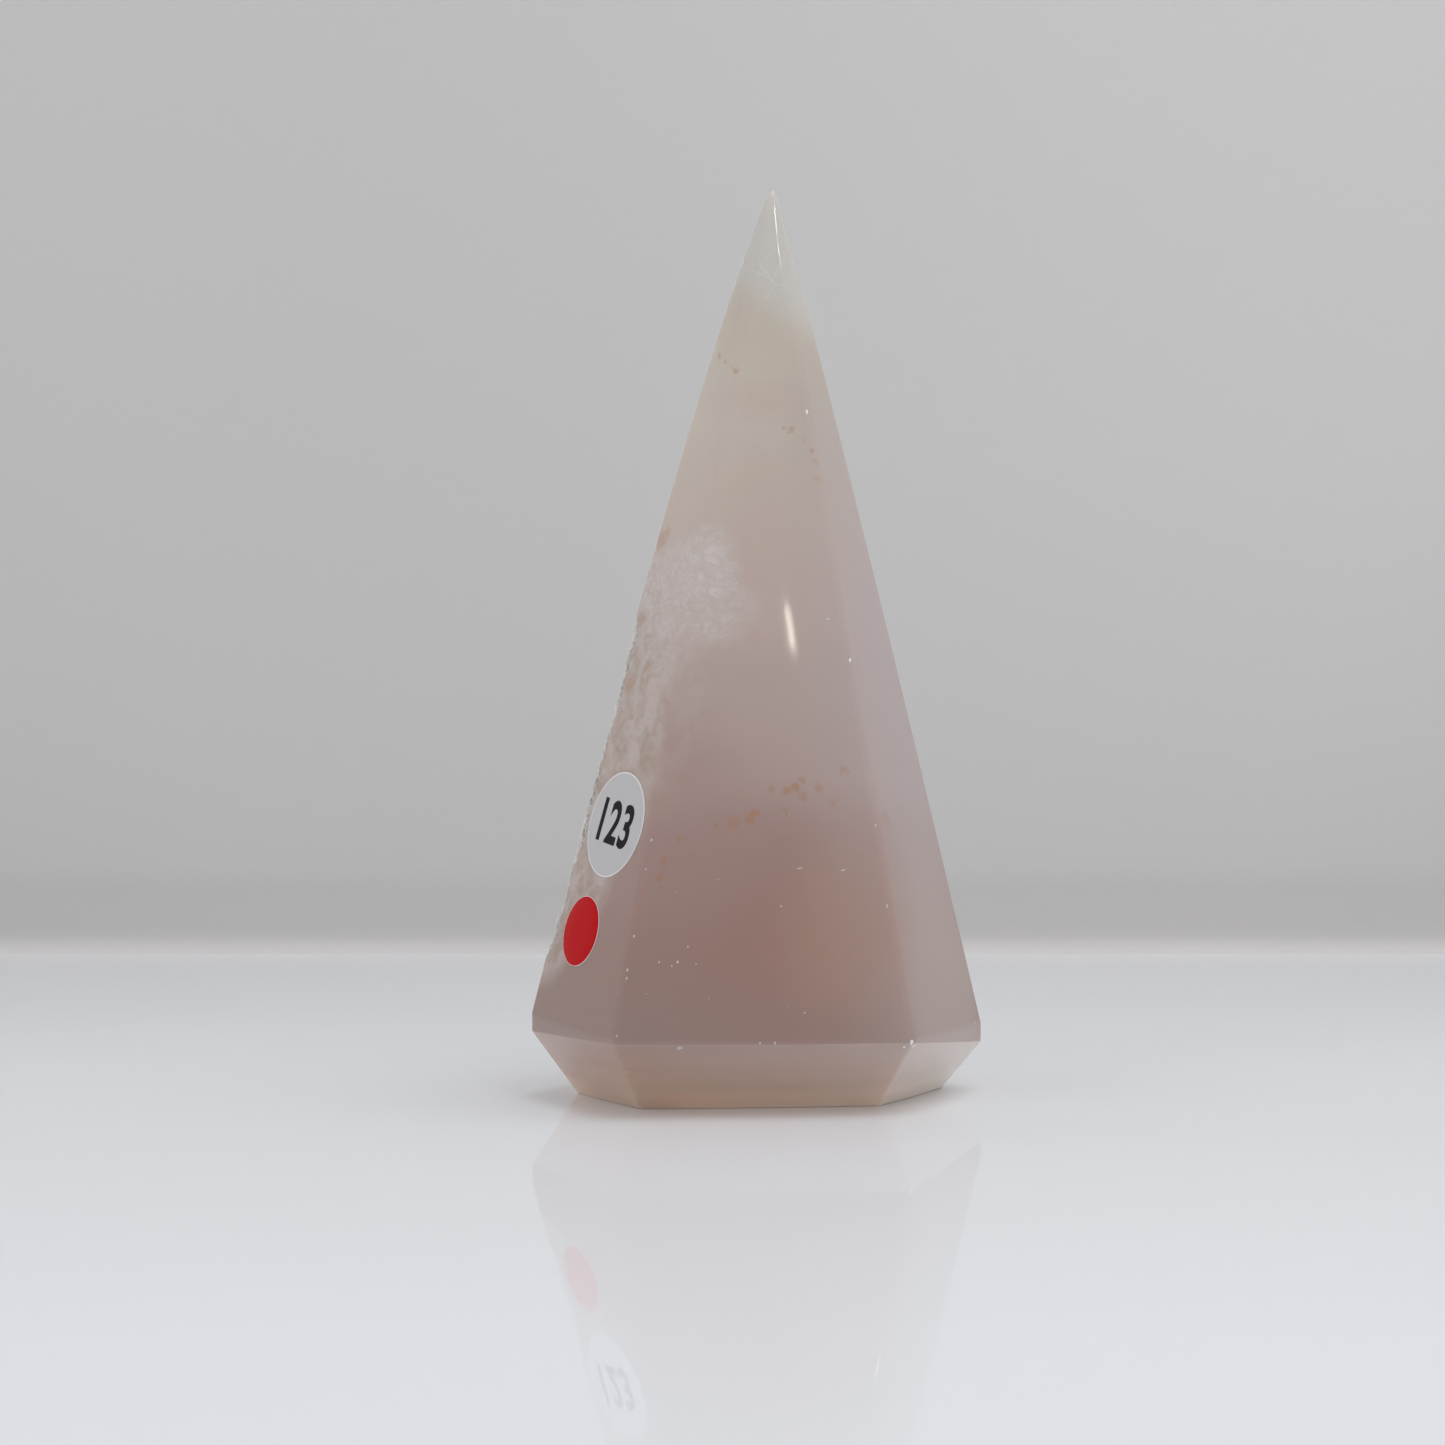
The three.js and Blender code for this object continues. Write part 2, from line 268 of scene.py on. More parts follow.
def buildStudio():
    reach = studio["floorReach"]
    corners = [(-reach, -reach, 0), (reach, -reach, 0), (reach, reach, 0), (-reach, reach, 0)]
    floor = makeObject("floor", corners, [(0, 1, 2, 3)], floorMaterial, flat=True)
    back, half, radius = studio["wallDistance"], studio["wallHalfWidth"], studio["coveRadius"]
    profile = [(back - radius + radius * math.sin(a), studio["coveLift"] + radius * (1 - math.cos(a)))
               for a in np.linspace(0, math.pi / 2, studio["coveSteps"])]
    profile.append((back, studio["wallHeight"]))
    points = [(x, y, z) for y, z in profile for x in (-half, half)]
    faces = [(2 * i, 2 * i + 1, 2 * i + 3, 2 * i + 2) for i in range(len(profile) - 1)]
    wall = makeObject("wall", points, faces, wallMaterial)


def addAreaLight(name, place, target, width, height, power, glossy=True, color=(1, 1, 1)):
    data = bpy.data.lights.new(name, "AREA")
    data.shape = "RECTANGLE"
    data.size, data.size_y = width * mm, height * mm
    data.energy, data.color = power, color
    light = linkObject(name, data)
    light.location = Vector((tipLine + place) * mm)
    direction = Vector(target) - Vector(place)
    light.rotation_euler = direction.to_track_quat("-Z", "Y").to_euler()
    light.visible_camera = False
    light.visible_glossy = glossy


lights = {
    "overhead": dict(
        place=(260, -150, 900), target=(0, 0, 60),
        width=900, height=700, power=4.1),
    "leftCard": dict(
        place=(-760, -600, 300), target=(0, 0, 80),
        width=700, height=260, power=1.98, glossy=False),
    "rightCard": dict(
        place=(800, -560, 110), target=(0, 0, 40),
        width=700, height=220, power=1.52, glossy=False),
    "backCard": dict(
        place=(-950, 330, 170), target=(-30, 0, 55),
        width=320, height=320, power=2.2, glossy=False),
    "streakLamp": dict(
        place=(218, -735, 362), target=(2, -15, 86),
        width=7.5, height=16, power=0.006, color=(1, 0.93, 0.8)),
    "tipLamp": dict(
        place=(448, -560, 520), target=(0, -2, 156),
        width=50, height=17, power=0.062),
}

buildStudio()
for name, values in lights.items():
    addAreaLight(name, **values)
world = bpy.data.worlds.new("world")
world.use_nodes = True
world.node_tree.nodes["Background"].inputs["Color"].default_value = studio["worldColor"]
world.node_tree.nodes["Background"].inputs["Strength"].default_value = studio["worldStrength"]
bpy.context.scene.world = world
bpy.context.scene.view_settings.view_transform = "Standard"
print("camera, floor, wall and lights placed")

# the polished tower

tower = {
    # girdle x, y, z from the tip's line; upright band above it; taper; softness; inset of the bevel below
    "corners": [
        (-43.6, -2.0, 12.0, 3.4, 0.868, 0.9, 10.1),  # left
        (-27.4, -31.5, 13.3, 0.8, 0.93, 1.8, 13.9),  # front left
        (24.3, -26.6, 13.0, 0.8, 1.0, 1.3, 9.4),  # front right
        (38.3, 6.7, 9.0, 3.4, 0.94, 0.9, 4.6),  # right
        (21.5, 34.0, 11.0, 1.2, 0.94, 1.3, 8.0),  # back right
        (-25.0, 31.0, 12.2, 1.2, 0.92, 1.3, 4.6),  # back left
    ],
    "height": 163.0,
    "tipAllowance": 1.4,
    "tipRounding": 1.5,
    "crownShare": 0.014,  # how far a facet bulges, as a share of its width
    "crownFlatness": 2.4,
    "footSoftness": 0.7,
    "softnessMost": 0.3,  # as a share of the facet's width
    "girdleRounding": 0.3,
    "footRounding": 0.35,
    "footStart": 0.9,  # the foot's innermost ring aims at this share of its size
    "facetSteps": [54, 34, 30, 26, 30, 60],
    "cornerSteps": 6,
    "edgeSteps": 4,
    "bevelLevels": (0.2, 0.4, 0.6, 0.8),
    "bandLevels": (0.35, 0.7),
    "levels": 190,
    # mm below the top, from the cap's start
    "capLevels": [6, 5.2, 4.5, 3.9, 3.3, 2.8, 2.3, 1.9, 1.5, 1.2, 0.9, 0.65, 0.45, 0.28, 0.14, 0.05],
}
girdles = np.array([c[:3] for c in tower["corners"]])
bands, tapers, softnesses, insets = np.array([c[3:] for c in tower["corners"]]).T


def ridgePoints(heights):
    # the six unrounded corners, each at its own height
    virtualTop = tower["height"] + tower["tipAllowance"]  # where the ridges would meet
    left = np.minimum(1, (virtualTop - heights) / (virtualTop - girdles[:, 2] - bands))
    below = np.clip((tower["height"] - heights) / tower["tipRounding"], 0, 1)
    share = left ** tapers * np.sqrt(1 - (1 - below) ** 2)
    return np.column_stack([girdles[:, 0] * share, girdles[:, 1] * share, heights])


def levelOut(start, end):
    return unit(np.array([end[1] - start[1], start[0] - end[0], 0]))


def onFacet(start, end, t):
    t = np.atleast_1d(t)[:, None]
    crown = tower["crownShare"] * np.linalg.norm(end - start)
    bulge = crown * (1 - np.abs(2 * t - 1) ** tower["crownFlatness"])
    return start + (end - start) * t + levelOut(start, end) * bulge


def sectionLine(points, softness):
    line = []
    for i in range(6):
        before, corner, after = points[i - 1], points[i], points[(i + 1) % 6]
        span = np.linalg.norm(after - corner)
        reachIn = min(softness[i] / np.linalg.norm(corner - before), tower["softnessMost"])
        reachOut = min(softness[i] / span, tower["softnessMost"])
        nextReach = min(softness[(i + 1) % 6] / span, tower["softnessMost"])
        start, end = onFacet(before, corner, 1 - reachIn)[0], onFacet(corner, after, reachOut)[0]
        line.append(curved(start, corner, end, np.linspace(0, 1, tower["cornerSteps"] + 1)[:, None]))
        steps = tower["facetSteps"][i]
        between = (1 - nextReach - reachOut) * np.arange(1, steps) / steps
        line.append(onFacet(corner, after, reachOut + between))
    return np.vstack(line)


def footCorners():
    bevels = []
    for i in range(6):
        start, end = girdles[i], girdles[(i + 1) % 6]
        below = (start + end) / 2 - levelOut(start, end) * insets[i]
        below[2] = 0
        n = np.cross(end - start, below - start)
        bevels.append((n[:2], n @ start))
    feet = [np.linalg.solve([bevels[i - 1][0], bevels[i][0]], [bevels[i - 1][1], bevels[i][1]])
            for i in range(6)]
    return np.column_stack([feet, np.zeros(6)])


def towards(line, other, distance):
    step = other - line
    return line + step * (distance / np.linalg.norm(step, axis=1))[:, None]


def curved(start, corner, end, s):
    return (1 - s) ** 2 * start + 2 * s * (1 - s) * corner + s ** 2 * end


def roundedEdge(before, edge, after, radius):
    start, end = towards(edge, before, radius), towards(edge, after, radius)
    return [curved(start, edge, end, s) for s in np.linspace(0, 1, tower["edgeSteps"] + 1)]


def towerRings():
    foot = sectionLine(footCorners(), [tower["footSoftness"]] * 6)
    girdle = sectionLine(girdles, softnesses)
    shoulder = sectionLine(ridgePoints(girdles[:, 2] + bands), softnesses)
    rings = roundedEdge(foot * tower["footStart"], foot, girdle, tower["footRounding"])
    edge = roundedEdge(foot, girdle, shoulder, tower["girdleRounding"])
    rings += [rings[-1] + (edge[0] - rings[-1]) * s for s in tower["bevelLevels"]] + edge
    girdleRing = len(rings) - 1 - len(edge) // 2
    rings += [edge[-1] + (shoulder - edge[-1]) * s for s in tower["bandLevels"]]
    low, capStart = girdles[:, 2] + bands, tower["height"] - tower["capLevels"][0]
    heights = [low + (capStart - low) * share for share in np.arange(tower["levels"]) / tower["levels"]]
    heights += [np.full(6, tower["height"] - below) for below in tower["capLevels"]]
    return rings + [sectionLine(ridgePoints(z), softnesses) for z in heights], girdleRing


rings, girdleRing = towerRings()  # girdleRing is the number of the ring along the girdle
ringCount, columnCount = len(rings), len(rings[0])
polished = np.vstack(rings + [[(0, 0, 0)], [(0, 0, tower["height"])]])
towerFaces = closedFaces(ringCount, columnCount)
envelope = BVHTree.FromPolygons(polished.tolist(), towerFaces)
print("polished form:", ringCount, "rings of", columnCount)

# the druzy hollow, as a depth under the back left facet

hollow = {
    "bottom": 15.5,
    "top": 90.5,
    "centre": 5.5,  # mm from the middle of the facet, towards the left ridge
    "halfWidth": 17.5,
    "shelfDepth": 1.9,
    "rimStart": 0.92,  # the share of its size where the wall turns up to the rim
    "rimRise": 1.2,
    "bowlDepth": 11.2,
    "bowlHalfWidth": 11.2,
    "bowlHalfHeight": 31,
    "bowlCentre": (-0.6, -1.5),
    "bowlFlatness": 0.8,
    "narrowing": 0.28,
    "outlineWaves": [(3, 1, 0.035), (7, 0, 0.03), (13, 0, 0.02)],  # waves round it, start, height
    "lumps": [(0.45, (0.52, 0.21, 0.6), (-0.16, 0.37, 0)), (0.22, (1.25, -0.55, 2), (0.4, 0.95, 0))],
    "lumpsAtRim": 0.4,
    "cutReach": -16,  # mm out of its plane, beyond which nothing is cut
    "ownSide": (-26, -14),  # the same, where its own side of the tower begins
}


def hollowFrame():
    def middleAt(z):
        points = ridgePoints(np.full(6, z))
        return (points[5] + points[0]) / 2

    low, high = middleAt(hollow["bottom"]), middleAt(hollow["top"])
    points = ridgePoints(np.full(6, hollow["bottom"]))
    out = levelOut(points[5], points[0])
    across = np.array([-out[1], out[0], 0])
    up = high - low
    up = unit(up - across * (up @ across))
    out = unit(np.cross(across, up))
    return np.array([across, up, out]), (low + high) / 2, np.linalg.norm(high - low) / 2


hollowAxes, hollowOrigin, hollowHalfHeight = hollowFrame()


def toHollow(points):
    return (np.asarray(points) - hollowOrigin) @ hollowAxes.T


def fromHollow(points):
    return np.asarray(points) @ hollowAxes + hollowOrigin


def outlineWobble(angle):
    return 1 + sum(height * np.sin(waves * angle + start)
                   for waves, start, height in hollow["outlineWaves"])


def zoneShare(across, up):
    v = up / hollowHalfHeight
    h = (across - hollow["centre"]) / (hollow["halfWidth"] * (1 - hollow["narrowing"] * v))
    return np.hypot(h, v) / outlineWobble(np.arctan2(v, h))


def hollowPlaces(points):
    # the points in the hollow's own axes, and how far out each is as a share of the hollow's size
    local = toHollow(points)
    return local, zoneShare(local[:, 0], local[:, 1])


def zonePlace(angle, share):
    reach = share * outlineWobble(angle)
    up = reach * np.sin(angle) * hollowHalfHeight
    halfWidth = hollow["halfWidth"] * (1 - hollow["narrowing"] * up / hollowHalfHeight)
    return hollow["centre"] + reach * np.cos(angle) * halfWidth, up


def wallDepth(across, up, share):
    p = (across - hollow["bowlCentre"][0]) / hollow["bowlHalfWidth"]
    q = (up - hollow["bowlCentre"][1]) / hollow["bowlHalfHeight"]
    bowl = hollow["bowlDepth"] * np.maximum(0, 1 - p * p - q * q) ** hollow["bowlFlatness"]
    atRim = smooth(share, hollow["rimStart"], 1)
    lumps = sum(height * np.sin(a[0] * across + a[1] * up + a[2]) * np.sin(b[0] * across + b[1] * up + b[2])
                for height, a, b in hollow["lumps"])
    shelf = hollow["shelfDepth"] + (-hollow["rimRise"] - hollow["shelfDepth"]) * atRim
    return shelf + bowl + lumps * (1 + (hollow["lumpsAtRim"] - 1) * atRim)


def cutHollow(points):
    local, share = hollowPlaces(points)
    wall = -wallDepth(local[:, 0], local[:, 1], share)
    inside = (share < 1) & (local[:, 2] > wall) & (local[:, 2] > hollow["cutReach"])
    local[inside, 2] = wall[inside]
    return fromHollow(local)


def stoneColor(color):
    # a screen colour of 0 to 255, as the shaders' linear colour
    return tuple(((c / 255 + 0.055) / 1.055) ** 2.4 for c in color) + (1,)


def newGroup(name, inputs, outputs, kind="ShaderNodeTree"):
    # inputs are (name, socket type) or (name, socket type, value), outputs (name, socket type)
    group = bpy.data.node_groups.new(name, kind)
    for direction, sockets in (("INPUT", inputs), ("OUTPUT", outputs)):
        for socketName, socketKind, *value in sockets:
            socket = group.interface.new_socket(
                socketName, in_out=direction, socket_type="NodeSocket" + socketKind)
            if value:
                socket.default_value = value[0]
    return group, group.nodes.new("NodeGroupInput").outputs, group.nodes.new("NodeGroupOutput").inputs


def makeSoftBall():
    # 1 inside a stretched ball, 0 outside it, with a soft edge
    group, given, result = newGroup("softBall", [
        ("Place", "Vector"), ("Centre", "Vector"), ("Half Size", "Vector", (1, 1, 1)),
        ("Softness", "Float", 0.3),
    ], [("Mask", "Float")])
    away = vectorNode(group, "SUBTRACT", given["Place"], given["Centre"])
    shrunk = vectorNode(group, "DIVIDE", away, given["Half Size"])
    length = put(group, "ShaderNodeVectorMath", {0: shrunk}, operation="LENGTH").outputs["Value"]
    inner = mathNode(group, "SUBTRACT", 1.0, given["Softness"])
    outer = mathNode(group, "ADD", 1.0, given["Softness"])
    group.links.new(remap(group, length, outer, inner, soft=True), result["Mask"])
    return group


def makeIronStain():
    # patchy rust-coloured staining, as a mask
    group, given, result = newGroup("ironStain", [
        ("Place", "Vector"), ("Patch Scale", "Float", 0.1), ("Spread", "Float", 0.3),
    ], [("Mask", "Float")])
    patches = noiseAt(group, given["Place"], Scale=given["Patch Scale"], Detail=4.0, Roughness=0.6)[0]
    start = mathNode(group, "SUBTRACT", 0.75, given["Spread"])
    group.links.new(remap(group, patches, start, 0.8, soft=True), result["Mask"])
    return group


def makeGrains():
    # packed quartz grains: a tone for each grain, and a line where two grains meet
    group, given, result = newGroup("grains", [
        ("Place", "Vector"), ("Grain Scale", "Float", 0.5), ("Line Width", "Float", 0.1),
    ], [("Tone", "Float"), ("Line", "Float")])
    wobble = noiseAt(group, given["Place"], Scale=0.35, Detail=2.0)["Color"]
    place = vectorNode(group, "ADD", given["Place"], scaled(group, wobble, 1.6))
    cells = put(group, "ShaderNodeTexVoronoi", {
        "Vector": place, "Scale": given["Grain Scale"], "Smoothness": 0.6}, feature="SMOOTH_F1")
    cell = put(group, "ShaderNodeSeparateColor", {0: cells.outputs["Color"]})
    blots = noiseAt(group, place, Scale=given["Grain Scale"], Detail=4.0)[0]
    both = put(group, "ShaderNodeMix", {0: 0.6, 2: cell.outputs[0], 3: blots})
    group.links.new(remap(group, both.outputs[0], 0.36, 0.64, soft=True), result["Tone"])
    edges = put(group, "ShaderNodeTexVoronoi", {"Vector": place, "Scale": given["Grain Scale"]},
                feature="DISTANCE_TO_EDGE")
    line = remap(group, edges.outputs["Distance"], given["Line Width"], 0.0, soft=True)
    group.links.new(line, result["Line"])
    return group


softBall, ironStain, grains = makeSoftBall(), makeIronStain(), makeGrains()


def placeGroup(tree, group, inputs):
    return put(tree, "ShaderNodeGroup", inputs, node_tree=group).outputs


def ballMask(tree, place, centre, halfSize, softness):
    return placeGroup(tree, softBall, {
        "Place": place, "Centre": centre, "Half Size": halfSize, "Softness": softness})["Mask"]


def tintBy(tree, color, mask, strength, tint, blend="MIX"):
    return mixColor(tree, times(tree, mask, strength), color, stoneColor(tint), blend)


def tintBall(tree, color, place, given):
    # centre and half size in mm, softness, colour, strength
    *ball, tint, strength = given
    return tintBy(tree, color, ballMask(tree, place, *ball), strength, tint)


def placeInMm(tree):
    # Object coordinates in mm
    place = put(tree, "ShaderNodeTexCoord").outputs["Object"]
    return put(tree, "ShaderNodeMapping", {"Vector": place, "Scale": (1 / mm,) * 3}).outputs[0]


agate = {
    # the colour by height in mm, above the girdle and on the bevels under it; each ramp ends at its top
    "heightTop": 165,
    "heightColors": [
        (0, (151, 129, 122)), (16, (153, 130, 122)), (30, (157, 129, 120)),
        (46, (167, 142, 135)), (60, (178, 156, 148)), (75, (182, 163, 154)),
        (90, (191, 171, 162)), (108, (193, 177, 166)), (124, (196, 186, 174)),
        (138, (196, 185, 171)), (150, (196, 187, 178)), (162, (190, 180, 172)),
    ],
    "bevelTop": 13,
    # the bevels' own orange-tan, lighter toward the foot with a bright line at the contact: that lightening
    # is painted light, standing in for light through the stone and up from the floor
    "bevelColorsAndFootLight": [
        (0, (240, 208, 186)), (1.5, (226, 192, 169)), (5, (196, 167, 150)),
        (9, (182, 155, 142)), (13, (170, 145, 136)),
    ],
    # the pale bevels' colours, also lightened toward the foot by painted light
    "paleBevelColorsAndFootLight": [
        (0, (250, 245, 238)), (2, (240, 234, 228)), (6, (221, 215, 211)),
        (13, (216, 209, 206)),
    ],
    "footTint": ((-29, -16, 0), (12, 14, 5), 0.6, (192, 172, 158), 0.7),
    # how pale each bevel is from its one end to its other, from the left one round by the front
    "bevelPaleness": [(0.22, 0.02), (0.03, 0.42), (0.6, 0.95), (0.6, 0.6), (0.4, 0.4), (0.5, 0.5)],
    "palenessStrength": 0.85,
    "mottle": {"Scale": 0.07, "Detail": 4.0},
    "mottleStrength": 0.3,
    # how the colours wander: the noise's scale, and mm
    "warp": (0.028, 9),
    # name: centre and half size in mm, softness, colour, strength
    "tints": {
        "brightUpperLeft": ((-16, -9, 127), (12, 16, 26), 0.6, (205, 193, 182), 0.5),
        "duskUpperRight": ((16, -6, 126), (9, 12, 20), 0.5, (183, 170, 160), 0.6),
        "darkCore": ((3, -16, 30), (22, 22, 20), 0.7, (158, 123, 113), 0.8),
        # partly the stone's lavender tone on its right side, partly painted light standing in for the
        # backdrop's light coming through the thin right edge
        "lavenderSideAndLight": ((26, -4, 78), (17, 24, 46), 0.7, (182, 169, 168), 0.75),
        "palerFootRight": ((34, -11, 20), (16, 22, 24), 0.6, (182, 166, 160), 0.7),
        "mauveLeft": ((-16, -20, 46), (16, 14, 20), 0.6, (160, 131, 123), 0.5),
        "warmRight": ((16, -26, 34), (10, 11, 16), 0.8, (178, 149, 134), 0.45),
        "rosyBand": ((2, -9, 125), (6, 5, 3), 0.8, (196, 168, 158), 0.35),
    },
    # the clearer, cooler tip
    "tip": ((26, -3, 172), (38, 38, 38)),
    "tipWarp": (0.12, 3),
    "tipSoftness": 0.12,
    "tipTint": (203, 203, 198),
    "tipStrength": 0.6,
    "tipCracks": ((2.5, -4, 147.5), (3.5, 5, 5), 0.3),
    "crackGrains": {"Grain Scale": 0.25, "Line Width": 0.035},
    "crackStrength": 0.35,
    # the milky patch: centre and half size in mm, strength
    "cloud": [
        ((-10.5, -16, 95.5), (7.5, 12, 6.5), 1.0), ((-13, -16, 89), (10, 12, 7), 0.75),
        ((-17, -13, 83), (8, 12, 7), 0.5), ((-5.5, -17, 90), (5.5, 8, 5), 0.45),
        ((-17.5, -7, 93), (7, 11, 7), 0.85),
    ],
    "cloudWarp": (0.16, 7),
    "cloudSoftness": 0.35,
    "cloudTint": (197, 189, 185),
    "cloudStrength": 0.55,
    "feathers": {"Scale": 0.7, "Detail": 6.0, "Roughness": 0.75, "Distortion": 0.8},
    "featherStretch": (0.75, 0.8, 1.15),
    "featherTurn": 35,
    "featherEdges": (0.44, 0.7),
    "featherStrength": 0.5,
    "featherTint": (225, 218, 218),
    "haloTan": (171, 150, 135),
    "haloMilk": (184, 170, 162),
    "haloStretch": (0.9, 0.55, 0.7),
    "haloBlots": {"Scale": 0.38, "Detail": 5.0, "Roughness": 0.62, "Distortion": 0.6},
    "haloBlotEdges": (0.36, 0.62),
    "haloGrains": {"Grain Scale": 0.5, "Line Width": 0.1},
    "haloGrainStrength": 0.22,
    "haloStrength": 0.8,
    # the quartz round the hollow thins out from the first to the second, in hollow sizes
    "haloReachLow": (1.02, 1.17),
    "haloReachHigh": (1.05, 1.45),
    "haloRise": (30, 80),  # mm up, where it changes from the low reach to the high one
    "rust": (170, 121, 84),
    "fleckWarp": (0.8, 2.2),
    "fleckSoftness": 0.6,
    "fleckStrength": 0.62,
    # x, y, z and half size in mm, strength
    "flecks": [
        (-4.6, -24.5, 51.2, 1.1, 0.5), (-0.8, -23.8, 52.8, 0.8, 0.95), (-1.6, -24.1, 51.8, 0.75, 0.85),
        (-7.7, -24.9, 50.8, 0.35, 0.9), (2.1, -22.8, 56.8, 0.7, 0.5), (4.9, -22.4, 56.9, 0.85, 0.85),
        (6.4, -22.2, 57.3, 0.7, 0.9), (7.7, -21.8, 58.5, 0.55, 0.75), (7.7, -22.3, 55.6, 0.7, 0.65),
        (10.4, -21.7, 57.3, 0.8, 0.55), (14.9, -20.5, 60.1, 0.8, 0.45), (13.2, -21.9, 54.4, 0.7, 0.4),
        (4.5, -23.2, 53.2, 0.7, 0.35), (22.4, -18.2, 51.3, 1.4, 0.25), (-13.8, -25.8, 48.5, 0.5, 0.85),
        (-16.5, -26.6, 44.6, 0.75, 0.7), (-17.3, -27.2, 42.1, 0.7, 0.75), (-16.9, -27.5, 40.3, 0.6, 0.4),
        (-20.5, -27.3, 39.2, 0.5, 0.7), (-21.1, -27.6, 36.8, 0.5, 0.5), (-11.8, -26.2, 45.5, 0.5, 0.3),
        (-25.9, -26.1, 24.7, 0.9, 0.4), (-27.7, -23.6, 23.7, 0.6, 0.4), (-31.8, -20.8, 13.6, 0.6, 0.6),
        (-6.8, -4.1, 133.4, 0.58, 0.59), (-5.9, -6, 132.1, 0.36, 0.51), (-3.9, -8.8, 130.5, 0.54, 0.68),
        (-4.5, -8.1, 131.4, 0.29, 0.59), (5.6, -9.9, 120, 0.65, 0.59), (4.4, -10, 120.6, 0.43, 0.51),
        (8.2, -9.9, 117.9, 0.36, 0.47), (9.4, -9.9, 116.4, 0.47, 0.68), (10.2, -10.1, 114.4, 0.5, 0.3),
        (10.6, -10.7, 111, 0.79, 0.21), (-17.2, -3.6, 100.3, 1.7, 0.5), (-16.2, -4.7, 101.8, 1.1, 0.4),
        (-20.6, -4.9, 86.2, 1.3, 0.45), (-19.6, -10.7, 78.2, 1.2, 0.4), (-22.8, -7.2, 74.6, 1.7, 0.5),
    ],
    "smear": {"Scale": 0.12, "Detail": 5.0},
    "roughness": (0.03, 0.06),
    "depth": {"Subsurface Weight": 0.32, "Subsurface Radius": (1.0, 0.85, 0.8), "Subsurface Scale": 0.006},
}
quartzIor = 1.54


def wandering(tree, place, scale, amount):
    # the place with a slow shift, up to about half the amount each way, in mm
    drift = noiseAt(tree, place, Scale=scale, Detail=3.0)["Color"]
    centred = vectorNode(tree, "SUBTRACT", drift, (0.5, 0.5, 0.5))
    return vectorNode(tree, "ADD", place, scaled(tree, centred, amount))


def turnedPlace(tree, place, stretch, turn=0):
    # the place scaled along each axis, then turned about y, in degrees
    return put(tree, "ShaderNodeMapping", {
        "Vector": place, "Rotation": (0, math.radians(turn), 0), "Scale": stretch}).outputs[0]


def heightRamp(tree, place, colors, top):
    height = put(tree, "ShaderNodeSeparateXYZ", {0: place}).outputs["Z"]
    stops = [(z / top, stoneColor(color)) for z, color in colors]
    return colorRamp(tree, times(tree, height, 1 / top), stops, "EASE")


agateMaterial, tree = newMaterial("agate")
place = placeInMm(tree)
warped = wandering(tree, place, *agate["warp"])
color = heightRamp(tree, warped, agate["heightColors"], agate["heightTop"])
for tint in agate["tints"].values():
    color = tintBall(tree, color, warped, tint)

# the clearer tip, with a few pale cracks in it
tipPlace = wandering(tree, place, *agate["tipWarp"])
tipMask = ballMask(tree, tipPlace, *agate["tip"], agate["tipSoftness"])
color = tintBy(tree, color, tipMask, agate["tipStrength"], agate["tipTint"])
cracks = placeGroup(tree, grains, {"Place": place, **agate["crackGrains"]})["Line"]
cracks = times(tree, cracks, agate["crackStrength"])
color = tintBy(tree, color, ballMask(tree, tipPlace, *agate["tipCracks"]), cracks, agate["featherTint"])

# cloudy quartz round the hollow, in blots and faint grains
drawn = turnedPlace(tree, place, agate["haloStretch"])
blots = remap(tree, noiseAt(tree, drawn, **agate["haloBlots"])[0], *agate["haloBlotEdges"], soft=True)
coarse = placeGroup(tree, grains, {"Place": drawn, **agate["haloGrains"]})["Tone"]
haloColor = mixColor(tree, blots, stoneColor(agate["haloTan"]), stoneColor(agate["haloMilk"]))
haloColor = tintBy(tree, haloColor, coarse, agate["haloGrainStrength"], agate["featherTint"])
halo = times(tree, attribute(tree, "quartzHalo"), agate["haloStrength"])
color = mixColor(tree, halo, color, haloColor)

# the milky patch: feathery streaks that fan up and to the right
cloudPlace = wandering(tree, place, *agate["cloudWarp"])
cloud = 0
for centre, halfSize, strength in agate["cloud"]:
    mask = ballMask(tree, cloudPlace, centre, halfSize, agate["cloudSoftness"])
    cloud = mathNode(tree, "MAXIMUM", times(tree, mask, strength), cloud)
fanned = turnedPlace(tree, place, agate["featherStretch"], agate["featherTurn"])
feathers = remap(tree, noiseAt(tree, fanned, **agate["feathers"])[0], *agate["featherEdges"])
color = tintBy(tree, color, cloud, agate["cloudStrength"], agate["cloudTint"])
feathers = times(tree, feathers, agate["featherStrength"])
color = tintBy(tree, color, cloud, feathers, agate["featherTint"])

# the bevels under the girdle: their own orange-tan, with painted light that lightens them toward the foot
bevelColorWithFootLight, paleBevelWithFootLight = (heightRamp(tree, place, agate[name], agate["bevelTop"])
                         for name in ("bevelColorsAndFootLight", "paleBevelColorsAndFootLight"))
paleness = times(tree, attribute(tree, "bevelPaleness"), agate["palenessStrength"])
bevelColorWithFootLight = tintBall(tree, mixColor(tree, paleness, bevelColorWithFootLight, paleBevelWithFootLight), place, agate["footTint"])
mottle = noiseAt(tree, place, **agate["mottle"])[0]
bevelColorWithFootLight = tintBy(tree, bevelColorWithFootLight, mottle, agate["mottleStrength"], agate["rust"], "SOFT_LIGHT")
color = mixColor(tree, attribute(tree, "bevel"), color, bevelColorWithFootLight)

# rust flecks
ragged = wandering(tree, place, *agate["fleckWarp"])
fleck = 0.0
for x, y, z, halfSize, strength in agate["flecks"]:
    mask = ballMask(tree, ragged, (x, y, z), (halfSize,) * 3, agate["fleckSoftness"])
    fleck = mathNode(tree, "MAXIMUM", fleck, times(tree, mask, strength))
color = tintBy(tree, color, fleck, agate["fleckStrength"], agate["rust"])

